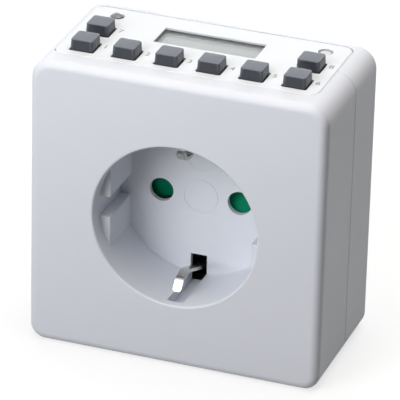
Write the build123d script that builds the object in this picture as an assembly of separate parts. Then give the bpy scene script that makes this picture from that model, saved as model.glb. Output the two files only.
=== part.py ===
from build123d import *
import math
import os

# A plug-in timer for a recessed wall socket, in millimetres.
# X runs to the right as seen from the front, Y into the wall and Z up.
# The origin is the middle of the plug's end face, halfway between its two pins.

# Plug and socket standard
PIN_SPACING = 19.0
PIN_R = 2.4
PIN_LENGTH = 19.0
PIN_TIP_R = 1.6
PIN_HOLE_R = 2.9
RECESS_R = 19.75
RECESS_DEPTH = 17.5
FLAT_X = 17.0
LEDGE_DEPTH = 4.3
GUIDE_WIDTH = 5.2

# Socket cup
RIM_ROUND = 0.5
LEDGE_ROUND = 0.3
CUP_WALL = 1.8
FLOOR_T = 1.3
FLOOR_RING_R = 4.1
UPPER_RING_R = 3.3
UPPER_RING_Z = 9.8
RING_WIDTH = 0.3
RING_RISE = 0.12
EARTH_SLOT_WIDTH = 4.0
EARTH_SLOT_START = 2.1
EARTH_SLOT_IN = 4.85
EARTH_SLOT_OUT = 2.45
EARTH_CHANNEL_WALL = 1.2

# Casing
CASE_WIDTH = 70.5
CASE_HEIGHT = 71.0
CASE_DEPTH = 36.0
CASE_RISE = 0.3
FRONT_SHELL_DEPTH = 20.2
WALL = 2.0
TOP_WALL = 3.2
TOP_CORNER_R = 5.0
BOTTOM_CORNER_R = 3.8
FRONT_EDGE_R = 2.0
REAR_EDGE_R = 1.0
SEAM_CHAMFER = 0.25
LIP_T = 1.0
LIP_LENGTH = 1.5
LIP_GAP = 0.1

# Casing screws and their posts
POST_R = 4.2
POST_SIDE = 6.65
POST_RISE = 7.2
POST_DROP = 20.8
SCREW_R = 1.45
SCREW_GAP = 0.05
SCREW_GRIP = 9.0
SCREW_HEAD_R = 2.7
SCREW_HEAD_T = 2.0
SCREW_SEAT_T = 3.0
SCREW_HEAD_GAP = 0.25
CROSS_SLOT_WIDTH = 0.7
CROSS_SLOT_DEPTH = 0.9

# Plug body, let into the rear shell
PLUG_GAP = 0.1
PLUG_FLANGE = 1.7
PLUG_FLANGE_T = 1.0
BOSS_SIDE_GAP = 0.55
BOSS_END_GAP = 0.5
BOSS_FLAT_GAP = 0.5
BOSS_GUIDE_GAP = 0.3
BOSS_END_WALL = 2.5
BOSS_SIDE_WALL = 2.6
BOSS_FLAT_WALL = 2.2
BOSS_END_ROUND = 0.8

# Control panel in the top face
PANEL_LEFT = 3.15
PANEL_RIGHT = 4.75
PANEL_FRONT = 5.6
PANEL_BACK = 2.2
PANEL_CORNER_R = 2.6
PANEL_T = 1.8
PANEL_GAP = 0.2
PANEL_CHAMFER = 0.25
PANEL_LEDGE = 1.1
PANEL_POST_R = 1.7
PANEL_POST_SIDE_GAP = 1.4
PANEL_POST_KEY_GAP = 1.1
PANEL_POST_BACK = 3.2
HOOK_WIDTH = 5.0
HOOK_T = 0.9
HOOK_NUB = 0.5
HOOK_NUB_T = 0.6
HOOK_GAP = 0.1
HOOK_DROP = 0.35

# Keys and reset button
ROW_KEYS = 6
KEY_SIDE = 6.05
KEY_BASE = 5.6
KEY_TOP = 5.2
KEY_RISE = 2.7
KEY_CORNER_R = 0.5
KEY_TOP_ROUND = 0.3
KEY_GAP = 0.2
KEY_FLANGE = 7.0
KEY_FLANGE_T = 1.05
KEY_FLANGE_GAP = 0.05
KEY_STEM_R = 1.4
KEY_STEM_H = 0.95
KEY_TRAVEL = 1.2
PRESS_SPARE = 0.3
FRONT_ROW_Y = 10.7
BACK_ROW_SHIFT = 0.15
RESET_SIDE = 6.6
RESET_BACK = 4.4
RESET_R = 1.45
RESET_GAP = 0.2
RESET_RISE = 0.8
RESET_DOME = 0.6
RESET_FLANGE_R = 2.3

# Silicone mat
MAT_T = 0.8
MAT_MARGIN = 3.6
DOME_R = 2.6
DOME_TOP_R = 1.5
DOME_SKIN = 0.4
DOME_GAP = 0.05

# Display
LCD_SIDE = 19.1
LCD_ROW_GAP = 8.7
LCD_BACK = 6.0
LCD_WINDOW_DROP = 0.4
LCD_WINDOW_GAP = 0.1
LCD_FLANGE = 1.3
LCD_FLANGE_T = 1.0
LCD_GLASS_MARGIN = 2.4
LCD_GLASS_T = 1.4
LCD_GAP = 0.1
LCD_FRAME_WALL = 1.1
ZEBRA_WIDTH = 1.5

# Indicator
LAMP_SIDE = 5.6
LAMP_BACK = 4.6
LENS_R = 1.65
LENS_GAP = 0.1
LENS_DROP = 0.25
LENS_FLANGE_R = 2.6
LENS_FLANGE_T = 0.8
LED_R = 1.5
LED_RIM_R = 1.8
LED_RIM_T = 0.8
LED_GAP = 0.3

# Control board and what is under it
BOARD_T = 1.6
BOARD_GAP = 0.4
CHIP_SIZE = 11.0
CHIP_T = 1.6
CHIP_INSET = 9.1
CHIP_Y = 15.0
CRYSTAL_R = 1.0
CRYSTAL_LENGTH = 6.0
CRYSTAL_BACK = 10.0
CELL_R = 5.0
CELL_T = 4.0
CELL_INSET = 7.2
CELL_Y = 14.0
CELL_CAP_R = 3.6
CELL_CAP_T = 0.4

# Small board screws
SMALL_SCREW_R = 0.95
SMALL_SCREW_HEAD_R = 1.8
SMALL_SCREW_HEAD_T = 1.2
SMALL_SCREW_GRIP = 2.6
SMALL_SCREW_GAP = 0.05

# Shutter behind the pin holes
SHUTTER_GAP = 0.3
SPRING_GAP = 0.2
SHUTTER_T = 3.0
SHUTTER_R = 13.3
SHUTTER_HUB_R = 4.6
SHUTTER_HALF_ANGLE = 18.0
SHUTTER_RAMP = 2.0
PIVOT_R = 1.5
PIVOT_GAP = 0.06
SPRING_SPACE = 1.9
SPRING_R = 3.2
SPRING_WIRE_R = 0.2
SPRING_TURNS = 2

# Contact carrier and sprung contacts
CARRIER_T = 1.6
CARRIER_HALF_HEIGHT = 8.0
CARRIER_LEG_T = 1.4
CARRIER_LEG_GAP = 0.9
CARRIER_LEG_HALF_HEIGHT = 6.0
SLEEVE_WALL = 0.8
SLEEVE_HALF_WIDTH = 3.3
SLEEVE_HALF_HEIGHT = 4.2
CARRIER_HOLE_R = 3.0
CONTACT_CLEAR = 0.2
CONTACT_BASE_HALF_WIDTH = 3.0
CONTACT_BASE_HALF_HEIGHT = 4.8
LEAF_T = 0.6
LEAF_HALF_WIDTH = 2.5
LEAF_PINCH = 0.2
LEAF_FLARE = 0.8
LEAF_MOUTH = 3.0
LEAF_SETBACK = 0.4

# Metal strips
STRIP_T = 0.8
STRIP_BEND = 0.9
BUSBAR_HALF_WIDTH = 2.6
BUSBAR_GAP = 0.4
BUSBAR_TAIL = 3.4
BUSBAR_REACH = 19.0
PIN_SHANK_R = 2.0
PIN_SHANK_GAP = 0.05
PIN_COLLAR_R = 3.2
PIN_COLLAR_T = 1.5
PIN_RIVET_R = 2.9
PIN_RIVET_T = 1.2

# Earth clip, plug earth contacts and the strap that joins them
CLIP_WIDTH = 2.0
CLIP_T = 0.8
CLIP_TIP_BACK = 2.9
CLIP_TIP_IN = 2.1
CLIP_KNEE_BACK = 4.9
CLIP_KNEE_IN = 4.5
CLIP_TOP_BACK = 8.2
CLIP_TOP_IN = 5.2
CLIP_ROOT_IN = 1.15
CLIP_ROOT_START = 1.5
CLIP_BEND = 1.6
EARTH_PLATE_HALF_WIDTH = 2.0
EARTH_PLATE_IN = 1.3
EARTH_PLATE_START = 1.0
EARTH_PLATE_BOW = 0.4
EARTH_LEG_BACK = 12.0
EARTH_LEG_END = 5.0
EARTH_GROOVE_GAP = 0.4
EARTH_SLOT_GAP = 0.2
STRAP_HALF_WIDTH = 3.0
STRAP_HALF_HEIGHT = 8.0
STRAP_T = 0.6
STRAP_FOOT_END = 1.8
FOOT_RIVET_GAP = 1.0
RIVET_R = 0.9
RIVET_HEAD_R = 1.5
RIVET_HEAD_T = 0.5
RIVET_Z = 6.5

# Mains board and its parts
STANDOFF_H = 2.0
STANDOFF_R = 2.5
STANDOFF_INSET = 8.1
STANDOFF_EDGE = 3.5
MAINS_MARGIN = 1.7
MAINS_BRIDGE = 2.4
MAINS_POST_GAP = 0.8
MAINS_OPENING_GAP = 1.0
BLOCK_EDGE_GAP = 0.25
RELAY_WIDTH = 16.6
RELAY_HEIGHT = 14.4
RELAY_CUP_GAP = 0.7
RELAY_EDGE = 0.5
FILM_CAP_WIDTH = 16.0
FILM_CAP_HEIGHT = 7.5
FILM_CAP_CUP_GAP = 1.1
FILM_CAP_RISE = 4.25
FILM_CAP_EDGE = 0.8
CAN_CAP_R = 4.0
CAN_CAP_CUP_GAP = 0.9
CAN_CAP_SIDE_GAP = 2.0
CAN_CAP_Z = -2.0
CAN_CAP_GROOVE = 0.4
FUSE_R = 2.5
FUSE_LENGTH = 18.0
FUSE_CAP_LENGTH = 4.5
FUSE_WAIST = 0.2
FUSE_EDGE = 3.5
RESISTOR_R = 1.3
RESISTOR_LENGTH = 8.0
RESISTOR_WAIST = 0.25
RESISTOR_COUNT = 3
RESISTOR_PITCH = 4.0
RESISTOR_SIDE_GAP = 2.25
RESISTOR_Z = 1.0
RIBBON_HALF_WIDTH = 5.0
RIBBON_T = 0.9
RIBBON_X = -8.0
RIBBON_EDGE = 2.0
RIBBON_STANDOFF = 3.6
RIBBON_BEND = 2.0

# Extra length of cutting tools, past the faces that they open
OVERRUN = 1.0
SMALLEST_ROUND = 0.3

# Levels along Y, from the front face to the plug's end face
BOSS_LENGTH = RECESS_DEPTH - BOSS_END_GAP
Y_REAR = -BOSS_LENGTH
Y_FRONT = Y_REAR - CASE_DEPTH
Y_SEAM = Y_FRONT + FRONT_SHELL_DEPTH
Y_FLOOR = Y_FRONT + RECESS_DEPTH
Y_FLOOR_BACK = Y_FLOOR + FLOOR_T
Y_SHUTTER = Y_FLOOR_BACK + SHUTTER_GAP
Y_SHUTTER_BACK = Y_SHUTTER + SHUTTER_T
Y_CARRIER = Y_SHUTTER_BACK + SPRING_SPACE
Y_CARRIER_BACK = Y_CARRIER + CARRIER_T
Y_CONTACT = Y_FLOOR + PIN_LENGTH + CONTACT_CLEAR
Y_CONTACT_BACK = Y_CONTACT + STRIP_T
Y_MAINS_BACK = Y_REAR - WALL - STANDOFF_H
Y_MAINS = Y_MAINS_BACK - BOARD_T
Y_COLLAR = -BOSS_END_WALL - PIN_COLLAR_T

# Levels along Z
Z_TOP = CASE_HEIGHT / 2 + CASE_RISE
Z_BOTTOM = CASE_RISE - CASE_HEIGHT / 2
Z_PANEL = Z_TOP - PANEL_T
Z_LEDGE = Z_TOP - TOP_WALL
Z_FLANGE = Z_PANEL - KEY_FLANGE_GAP - KEY_FLANGE_T
Z_STEM = Z_FLANGE - KEY_STEM_H
Z_DOME_TOP = Z_STEM - DOME_GAP
Z_BOARD_TOP = Z_DOME_TOP - DOME_SKIN - KEY_TRAVEL - PRESS_SPARE
Z_BOARD = Z_BOARD_TOP - BOARD_T
Z_MAT_TOP = Z_BOARD_TOP + MAT_T
Z_GLASS_TOP = Z_PANEL - LCD_FLANGE_T - LCD_GAP
Z_GLASS = Z_GLASS_TOP - LCD_GLASS_T

# Places worked out from the sizes above
PIN_X = PIN_SPACING / 2
BOSS_R = RECESS_R - BOSS_SIDE_GAP
BOSS_FLAT_X = FLAT_X - BOSS_FLAT_GAP
BOSS_BORE_R = BOSS_R - BOSS_SIDE_WALL
BOSS_BORE_X = BOSS_FLAT_X - BOSS_FLAT_WALL
BOSS_ROUND = min(BOSS_END_ROUND, (BOSS_R - BOSS_FLAT_X) / 2)
EARTH_SLOT_INNER = RECESS_R - EARTH_SLOT_IN
EARTH_SLOT_OUTER = RECESS_R + EARTH_SLOT_OUT
EARTH_PLATE_SEAT = BOSS_R - EARTH_PLATE_IN
WEB_Z = SLEEVE_HALF_HEIGHT + SLEEVE_WALL + BUSBAR_GAP + STRIP_T / 2
SLEEVE_OUT_X = SLEEVE_HALF_WIDTH + SLEEVE_WALL
SLEEVE_OUT_Z = SLEEVE_HALF_HEIGHT + SLEEVE_WALL
LEG_X = SHUTTER_R + CARRIER_LEG_GAP
PANEL_X0 = -CASE_WIDTH / 2 + PANEL_LEFT
PANEL_X1 = CASE_WIDTH / 2 - PANEL_RIGHT
PANEL_X = (PANEL_X0 + PANEL_X1) / 2
PANEL_Y0 = Y_FRONT + PANEL_FRONT
PANEL_Y1 = Y_REAR - PANEL_BACK
KEY_PITCH = (PANEL_X1 - PANEL_X0 - 2 * KEY_SIDE) / (ROW_KEYS - 1)
KEY_XS = [PANEL_X0 + KEY_SIDE + i * KEY_PITCH for i in range(ROW_KEYS)]
RESET_PLACE = (PANEL_X0 + RESET_SIDE, PANEL_Y1 - RESET_BACK)
LAMP_PLACE = (PANEL_X1 - LAMP_SIDE, PANEL_Y1 - LAMP_BACK)
FRONT_ROW = Y_FRONT + FRONT_ROW_Y
BACK_ROW = (FRONT_ROW + RESET_PLACE[1]) / 2 + BACK_ROW_SHIFT
KEY_PLACES = [(x, FRONT_ROW) for x in KEY_XS] + [(x, BACK_ROW) for x in (KEY_XS[0], KEY_XS[-1])]
LCD_WINDOW_WIDTH = PANEL_X1 - PANEL_X0 - 2 * LCD_SIDE
LCD_WINDOW_DEPTH = PANEL_Y1 - LCD_BACK - FRONT_ROW - LCD_ROW_GAP
LCD_X = PANEL_X
LCD_Y = PANEL_Y1 - LCD_BACK - LCD_WINDOW_DEPTH / 2
LCD_FRAME_MARGIN = LCD_GLASS_MARGIN + LCD_GAP + LCD_FRAME_WALL
PANEL_POST_X = LCD_WINDOW_WIDTH / 2 + LCD_FRAME_MARGIN + PANEL_POST_SIDE_GAP + PANEL_POST_R
PANEL_POST_Y0 = FRONT_ROW + KEY_FLANGE / 2 + PANEL_POST_KEY_GAP + PANEL_POST_R
PANEL_POST_Y1 = PANEL_Y1 - PANEL_POST_BACK
PANEL_POST_XS = (PANEL_X - PANEL_POST_X, PANEL_X + PANEL_POST_X)
PANEL_POSTS = [(x, y) for x in PANEL_POST_XS for y in (PANEL_POST_Y0, PANEL_POST_Y1)]
CHIP_X = PANEL_POST_XS[1] - CHIP_INSET
CELL_X = PANEL_POST_XS[0] + CELL_INSET
POST_X = CASE_WIDTH / 2 - POST_SIDE
POST_LOW_Z = Z_BOTTOM + POST_RISE
POST_HIGH_Z = Z_TOP - POST_DROP
CASE_POSTS = [(side * POST_X, z) for side in (-1, 1) for z in (POST_LOW_Z, POST_HIGH_Z)]
MAINS_HALF = CASE_WIDTH / 2 - WALL - MAINS_MARGIN
MAINS_LOW = Z_BOTTOM + WALL + MAINS_MARGIN
MAINS_OPENING_R = BOSS_BORE_R + MAINS_OPENING_GAP
MAINS_TOP = MAINS_OPENING_R + MAINS_BRIDGE
MAINS_NOTCH = POST_R + MAINS_POST_GAP
STANDOFF_X = POST_X - STANDOFF_INSET
STANDOFFS = [(side * STANDOFF_X, z) for side in (-1, 1) for z in (POST_LOW_Z, MAINS_TOP - STANDOFF_EDGE)]


# Helpers that draw a solid between two levels


def slab(x0, x1, y0, y1, z0, z1):
    """Box between two corners."""
    middle = Pos((x0 + x1) / 2, (y0 + y1) / 2, (z0 + z1) / 2)
    return middle * Box(x1 - x0, y1 - y0, z1 - z0)


def prism_x(sketch, x0, x1):
    """Sketch drawn in (y, z), from x0 to x1."""
    plane = Plane(origin=(x0, 0, 0), x_dir=(0, 1, 0), z_dir=(1, 0, 0))
    return extrude(plane * sketch, x1 - x0)


def prism_y(sketch, y0, y1):
    """Sketch drawn in (x, z), from y0 to y1."""
    plane = Plane(origin=(0, y1, 0), x_dir=(1, 0, 0), z_dir=(0, -1, 0))
    return extrude(plane * sketch, y1 - y0)


def prism_z(sketch, z0, z1):
    """Sketch drawn in (x, y), from z0 to z1."""
    return extrude(Pos(0, 0, z0) * sketch, z1 - z0)


def rod_y(radius, y0, y1, x=0.0, z=0.0):
    """Round bar along Y."""
    return prism_y(Pos(x, z) * Circle(radius), y0, y1)


def rod_z(radius, z0, z1, x, y):
    """Round bar along Z."""
    return prism_z(Pos(x, y) * Circle(radius), z0, z1)


def cone_z(radius, top_radius, z0, z1, x, y):
    """Cone frustum along Z."""
    return Pos(x, y, (z0 + z1) / 2) * Cone(radius, top_radius, z1 - z0)


def strip(points, thickness, half_width, bend, x=0.0):
    """Bent sheet metal: a line in (y, z) given its thickness and width."""
    line = FilletPolyline(*points, radius=bend)
    return prism_x(trace(line, line_width=thickness), x - half_width, x + half_width)


def mirrored(shape):
    """A piece and its mirror image across the socket's level."""
    return shape + mirror(shape, about=Plane.XY)


# Casing


def case_profile(side=0.0, bottom=0.0, top=0.0):
    """The casing's section across Y, drawn in by the walls given."""
    width = CASE_WIDTH - 2 * side
    low = Z_BOTTOM + bottom
    high = Z_TOP - top
    face = Pos(0, (low + high) / 2) * Rectangle(width, high - low)
    top_r = max(TOP_CORNER_R - side, SMALLEST_ROUND)
    bottom_r = max(BOTTOM_CORNER_R - side, SMALLEST_ROUND)
    face = fillet(face.vertices().sort_by(Axis.Y)[-2:], top_r)
    return fillet(face.vertices().sort_by(Axis.Y)[:2], bottom_r)


def panel_outline(grow=0.0):
    """The control panel's outline, grown by a margin."""
    width = PANEL_X1 - PANEL_X0 + 2 * grow
    length = PANEL_Y1 - PANEL_Y0 + 2 * grow
    centre = Pos(PANEL_X, (PANEL_Y0 + PANEL_Y1) / 2)
    return centre * RectangleRounded(width, length, max(PANEL_CORNER_R + grow, SMALLEST_ROUND))


def panel_pocket():
    """What both shells lose to take the panel and what hangs under it."""
    seat = prism_z(panel_outline(PANEL_GAP), Z_PANEL, Z_TOP + OVERRUN)
    opening = prism_z(panel_outline(-PANEL_LEDGE), Z_BOARD, Z_PANEL + OVERRUN)
    return seat + opening


def recess_section(radius, flat_x, guide_width):
    """Circle with a flat at each side and a guide across the flats' middle."""
    disc = Circle(radius)
    flats = disc & Rectangle(2 * flat_x, 2 * radius + OVERRUN)
    guide = disc & Rectangle(2 * radius + OVERRUN, guide_width)
    return flats + guide


def socket_cup():
    """Round cup with a channel at top and bottom for the earth clip."""
    start = Y_FRONT + WALL / 2
    cup = rod_y(RECESS_R + CUP_WALL, start, Y_FLOOR_BACK)
    half = EARTH_SLOT_WIDTH / 2 + EARTH_CHANNEL_WALL
    reach = EARTH_SLOT_OUTER + EARTH_CHANNEL_WALL
    return cup + slab(-half, half, start, Y_FLOOR_BACK, -reach, reach)


def socket_space():
    """What is taken out of the cup: recess, earth slots and pin holes."""
    ledge = Y_FRONT + LEDGE_DEPTH
    space = rod_y(RECESS_R, Y_FRONT - OVERRUN, ledge)
    space += prism_y(recess_section(RECESS_R, FLAT_X, GUIDE_WIDTH), ledge, Y_FLOOR)
    half = EARTH_SLOT_WIDTH / 2
    inside = RECESS_R - OVERRUN
    wall_slot = slab(-half, half, Y_FRONT + EARTH_SLOT_START, Y_FLOOR, inside, EARTH_SLOT_OUTER)
    window = slab(-half, half, Y_FLOOR, Y_FLOOR_BACK + OVERRUN, EARTH_SLOT_INNER, EARTH_SLOT_OUTER)
    space += mirrored(wall_slot + window)
    for x in (-PIN_X, PIN_X):
        space += rod_y(PIN_HOLE_R, Y_FLOOR - OVERRUN, Y_FLOOR_BACK + OVERRUN, x)
    return space


def ledge_edges(shell):
    """The straight edges where the flats meet the ledges and the guides."""
    found = []
    for edge in shell.edges().filter_by(GeomType.LINE):
        centre = edge.center()
        on_flat = abs(abs(centre.X) - FLAT_X) < LEDGE_ROUND / 10
        at_guide = abs(abs(centre.Z) - GUIDE_WIDTH / 2) < LEDGE_ROUND / 10
        at_ledge = abs(centre.Y - Y_FRONT - LEDGE_DEPTH) < LEDGE_ROUND / 10
        if on_flat and (at_guide or at_ledge):
            found.append(edge)
    return found


def floor_ring(radius, z):
    """Raised ring that the mould leaves on the recess floor."""
    top, bottom = Y_FLOOR - RING_RISE, Y_FLOOR_BACK
    outer = rod_y(radius + RING_WIDTH / 2, top, bottom, 0, z)
    return outer - rod_y(radius - RING_WIDTH / 2, top, bottom, 0, z)


def front_shell():
    """Front half of the casing with the socket cup and four screw posts."""
    shell = prism_y(case_profile(), Y_FRONT, Y_SEAM)
    front_edges = shell.faces().sort_by(Axis.Y)[0].edges()
    shell = fillet(front_edges, FRONT_EDGE_R)
    seam_edges = shell.faces().sort_by(Axis.Y)[-1].edges()
    shell = chamfer(seam_edges, SEAM_CHAMFER)
    shell -= prism_y(case_profile(WALL, WALL, TOP_WALL), Y_FRONT + WALL, Y_SEAM + OVERRUN)
    shell += socket_cup()
    for x, z in CASE_POSTS:
        shell += rod_y(POST_R, Y_FRONT + WALL / 2, Y_SEAM, x, z)
        shell -= rod_y(SCREW_R + SCREW_GAP, Y_SEAM - SCREW_GRIP - OVERRUN, Y_SEAM + OVERRUN, x, z)
    shell -= socket_space()
    rims = [
        edge
        for edge in shell.edges().filter_by(GeomType.CIRCLE)
        if abs(edge.center().Y - Y_FRONT) < RIM_ROUND / 2 and abs(edge.radius - RECESS_R) < RIM_ROUND / 2
    ]
    shell = fillet(rims, RIM_ROUND)
    shell = fillet(ledge_edges(shell), LEDGE_ROUND)
    shell += floor_ring(FLOOR_RING_R, 0) + floor_ring(UPPER_RING_R, UPPER_RING_Z)
    return shell - panel_pocket()


def plug_body():
    """Round body that enters the wall socket, with a flange inside the rear wall."""
    start = Y_REAR - WALL - PLUG_FLANGE_T
    boss = rod_y(BOSS_R, start, Y_REAR + LEDGE_DEPTH - BOSS_END_GAP)
    boss += rod_y(BOSS_R + PLUG_FLANGE, start, Y_REAR - WALL)
    section = recess_section(BOSS_R, BOSS_FLAT_X, GUIDE_WIDTH - 2 * BOSS_GUIDE_GAP)
    nose = prism_y(section, start, 0)
    nose = chamfer(nose.faces().sort_by(Axis.Y)[-1].edges(), BOSS_ROUND)
    return boss + nose - plug_space(start)


def plug_space(start):
    """What is taken out of the plug body: its bore, earth grooves and pin holes."""
    bore = Circle(BOSS_BORE_R) & Rectangle(2 * BOSS_BORE_X, 2 * BOSS_R)
    space = prism_y(bore, start - OVERRUN, -BOSS_END_WALL)
    half = EARTH_PLATE_HALF_WIDTH + EARTH_GROOVE_GAP
    groove_end = -EARTH_LEG_BACK - STRIP_T / 2 - EARTH_GROOVE_GAP
    groove = slab(-half, half, groove_end, OVERRUN, EARTH_PLATE_SEAT, BOSS_R + OVERRUN)
    half = EARTH_PLATE_HALF_WIDTH + EARTH_SLOT_GAP
    leg_half = STRIP_T / 2 + EARTH_SLOT_GAP
    slot = slab(
        -half,
        half,
        -EARTH_LEG_BACK - leg_half,
        -EARTH_LEG_BACK + leg_half,
        BOSS_BORE_R - OVERRUN,
        EARTH_PLATE_SEAT + STRIP_T,
    )
    space += mirrored(groove + slot)
    for x in (-PIN_X, PIN_X):
        space += rod_y(PIN_SHANK_R + PIN_SHANK_GAP, -BOSS_END_WALL - OVERRUN, OVERRUN, x)
    return space


def seam_lip():
    """Thin lip that reaches into the front shell and lines the halves up."""
    outside = case_profile(WALL + LIP_GAP, WALL + LIP_GAP, TOP_WALL + LIP_GAP)
    step = WALL + LIP_GAP + LIP_T
    inside = case_profile(step, step, TOP_WALL + LIP_GAP + LIP_T)
    root = case_profile(WALL / 2, WALL / 2, WALL / 2)
    lip = prism_y(outside - inside, Y_SEAM - LIP_LENGTH, Y_SEAM)
    lip += prism_y(root - inside, Y_SEAM, Y_SEAM + LIP_T)
    above = slab(-CASE_WIDTH, CASE_WIDTH, Y_FRONT, Y_REAR, Z_BOARD - OVERRUN, Z_TOP + OVERRUN)
    for x, z in CASE_POSTS:
        above += rod_y(POST_R + LIP_GAP, Y_FRONT, Y_SEAM, x, z)
    return lip - above


def rear_shell():
    """Rear half of the casing with screw posts, board standoffs and the plug's opening."""
    shell = prism_y(case_profile(), Y_SEAM, Y_REAR)
    shell = fillet(shell.faces().sort_by(Axis.Y)[-1].edges(), REAR_EDGE_R)
    shell = chamfer(shell.faces().sort_by(Axis.Y)[0].edges(), SEAM_CHAMFER)
    shell -= prism_y(case_profile(WALL, WALL, TOP_WALL), Y_SEAM - OVERRUN, Y_REAR - WALL)
    shell += seam_lip()
    for x, z in CASE_POSTS:
        shell += rod_y(POST_R, Y_SEAM, Y_REAR - WALL / 2, x, z)
    shell -= rod_y(BOSS_R + PLUG_GAP, Y_REAR - WALL - OVERRUN, Y_REAR + OVERRUN)
    for x, z in CASE_POSTS:
        shell -= rod_y(SCREW_R + SCREW_GAP, Y_SEAM - OVERRUN, Y_REAR + OVERRUN, x, z)
        shell -= rod_y(SCREW_HEAD_R + SCREW_HEAD_GAP, Y_SEAM + SCREW_SEAT_T, Y_REAR + OVERRUN, x, z)
    for x, z in STANDOFFS:
        shell += rod_y(STANDOFF_R, Y_MAINS_BACK, Y_REAR - WALL / 2, x, z)
        shell -= rod_y(SMALL_SCREW_R + SMALL_SCREW_GAP, Y_MAINS_BACK - OVERRUN, y_small_screw_end(), x, z)
    return shell - panel_pocket()


def y_small_screw_end():
    """Where the small screws' holes in the standoffs end."""
    return Y_MAINS_BACK + SMALL_SCREW_GRIP + SMALL_SCREW_GAP


def casing_screws():
    """Four screws that close the casing from behind."""
    seat = Y_SEAM + SCREW_SEAT_T
    screws = []
    for x, z in CASE_POSTS:
        screw = rod_y(SCREW_R, Y_SEAM - SCREW_GRIP, seat, x, z)
        screw += rod_y(SCREW_HEAD_R, seat, seat + SCREW_HEAD_T, x, z)
        slot_start = seat + SCREW_HEAD_T - CROSS_SLOT_DEPTH
        for wide, high in ((SCREW_HEAD_R, CROSS_SLOT_WIDTH), (CROSS_SLOT_WIDTH, SCREW_HEAD_R)):
            screw -= prism_y(Pos(x, z) * Rectangle(wide, high), slot_start, seat + SCREW_HEAD_T + OVERRUN)
        screws.append(screw)
    return Compound(children=screws)


# Control panel and what it carries


def panel_hook(x, y, out_x):
    """Snap hook that reaches under the ledge, towards out_x (-1 or 1)."""
    half = HOOK_WIDTH / 2
    inner, outer = x - out_x * HOOK_T, x
    z_nub = Z_LEDGE - HOOK_DROP
    leg = slab(min(inner, outer), max(inner, outer), y - half, y + half, z_nub - HOOK_NUB_T, Z_PANEL)
    reach = x + out_x * HOOK_NUB
    nub = slab(min(inner, reach), max(inner, reach), y - half, y + half, z_nub - HOOK_NUB_T, z_nub)
    return leg + nub


def control_panel():
    """Plate in the top face, with windows, four screw posts and four hooks."""
    panel = prism_z(panel_outline(), Z_PANEL, Z_TOP)
    panel = chamfer(panel.faces().sort_by(Axis.Z)[-1].edges(), PANEL_CHAMFER)
    for x, y in KEY_PLACES:
        window = RectangleRounded(KEY_BASE + 2 * KEY_GAP, KEY_BASE + 2 * KEY_GAP, KEY_CORNER_R)
        panel -= prism_z(Pos(x, y) * window, Z_PANEL - OVERRUN, Z_TOP + OVERRUN)
    panel -= rod_z(RESET_R + RESET_GAP, Z_PANEL - OVERRUN, Z_TOP + OVERRUN, *RESET_PLACE)
    panel -= rod_z(LENS_R + LENS_GAP, Z_PANEL - OVERRUN, Z_TOP + OVERRUN, *LAMP_PLACE)
    lcd_hole = Pos(LCD_X, LCD_Y) * Rectangle(LCD_WINDOW_WIDTH, LCD_WINDOW_DEPTH)
    panel -= prism_z(lcd_hole, Z_PANEL - OVERRUN, Z_TOP + OVERRUN)
    for x, y in PANEL_POSTS:
        panel += rod_z(PANEL_POST_R, Z_BOARD_TOP, Z_PANEL, x, y)
        hole_top = Z_BOARD_TOP + SMALL_SCREW_GRIP - SMALL_SCREW_GAP
        panel -= rod_z(SMALL_SCREW_R + SMALL_SCREW_GAP, Z_BOARD_TOP - OVERRUN, hole_top, x, y)
    inset = PANEL_LEDGE + HOOK_GAP
    for y in (PANEL_POST_Y0, PANEL_POST_Y1 - HOOK_WIDTH / 2):
        panel += panel_hook(PANEL_X0 + inset, y, -1)
        panel += panel_hook(PANEL_X1 - inset, y, 1)
    return panel


def key(x, y):
    """Square key with a tapered top, a flange under the panel and a stem."""
    section = RectangleRounded(KEY_BASE, KEY_BASE, KEY_CORNER_R)
    taper = math.degrees(math.atan((KEY_BASE - KEY_TOP) / 2 / KEY_RISE))
    body = extrude(Pos(0, 0, Z_TOP) * section, KEY_RISE, taper=taper)
    body = fillet(body.faces().sort_by(Axis.Z)[-1].edges(), KEY_TOP_ROUND)
    body += prism_z(section, Z_FLANGE, Z_TOP)
    body += prism_z(Rectangle(KEY_FLANGE, KEY_FLANGE), Z_FLANGE, Z_FLANGE + KEY_FLANGE_T)
    body += rod_z(KEY_STEM_R, Z_STEM, Z_FLANGE, 0, 0)
    return Pos(x, y, 0) * body


def reset_button():
    """Small round button with a domed top."""
    z_cap = Z_TOP + RESET_RISE - RESET_DOME
    ball_r = (RESET_R**2 + RESET_DOME**2) / (2 * RESET_DOME)
    button = rod_z(RESET_R, Z_FLANGE, Z_TOP + RESET_RISE, 0, 0)
    ball = Pos(0, 0, z_cap + RESET_DOME - ball_r) * Sphere(ball_r)
    crown = slab(-RESET_R, RESET_R, -RESET_R, RESET_R, z_cap, Z_TOP + RESET_RISE)
    button -= crown - ball
    button += rod_z(RESET_FLANGE_R, Z_FLANGE, Z_FLANGE + KEY_FLANGE_T, 0, 0)
    button += rod_z(KEY_STEM_R, Z_STEM, Z_FLANGE, 0, 0)
    return Pos(*RESET_PLACE, 0) * button


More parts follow.
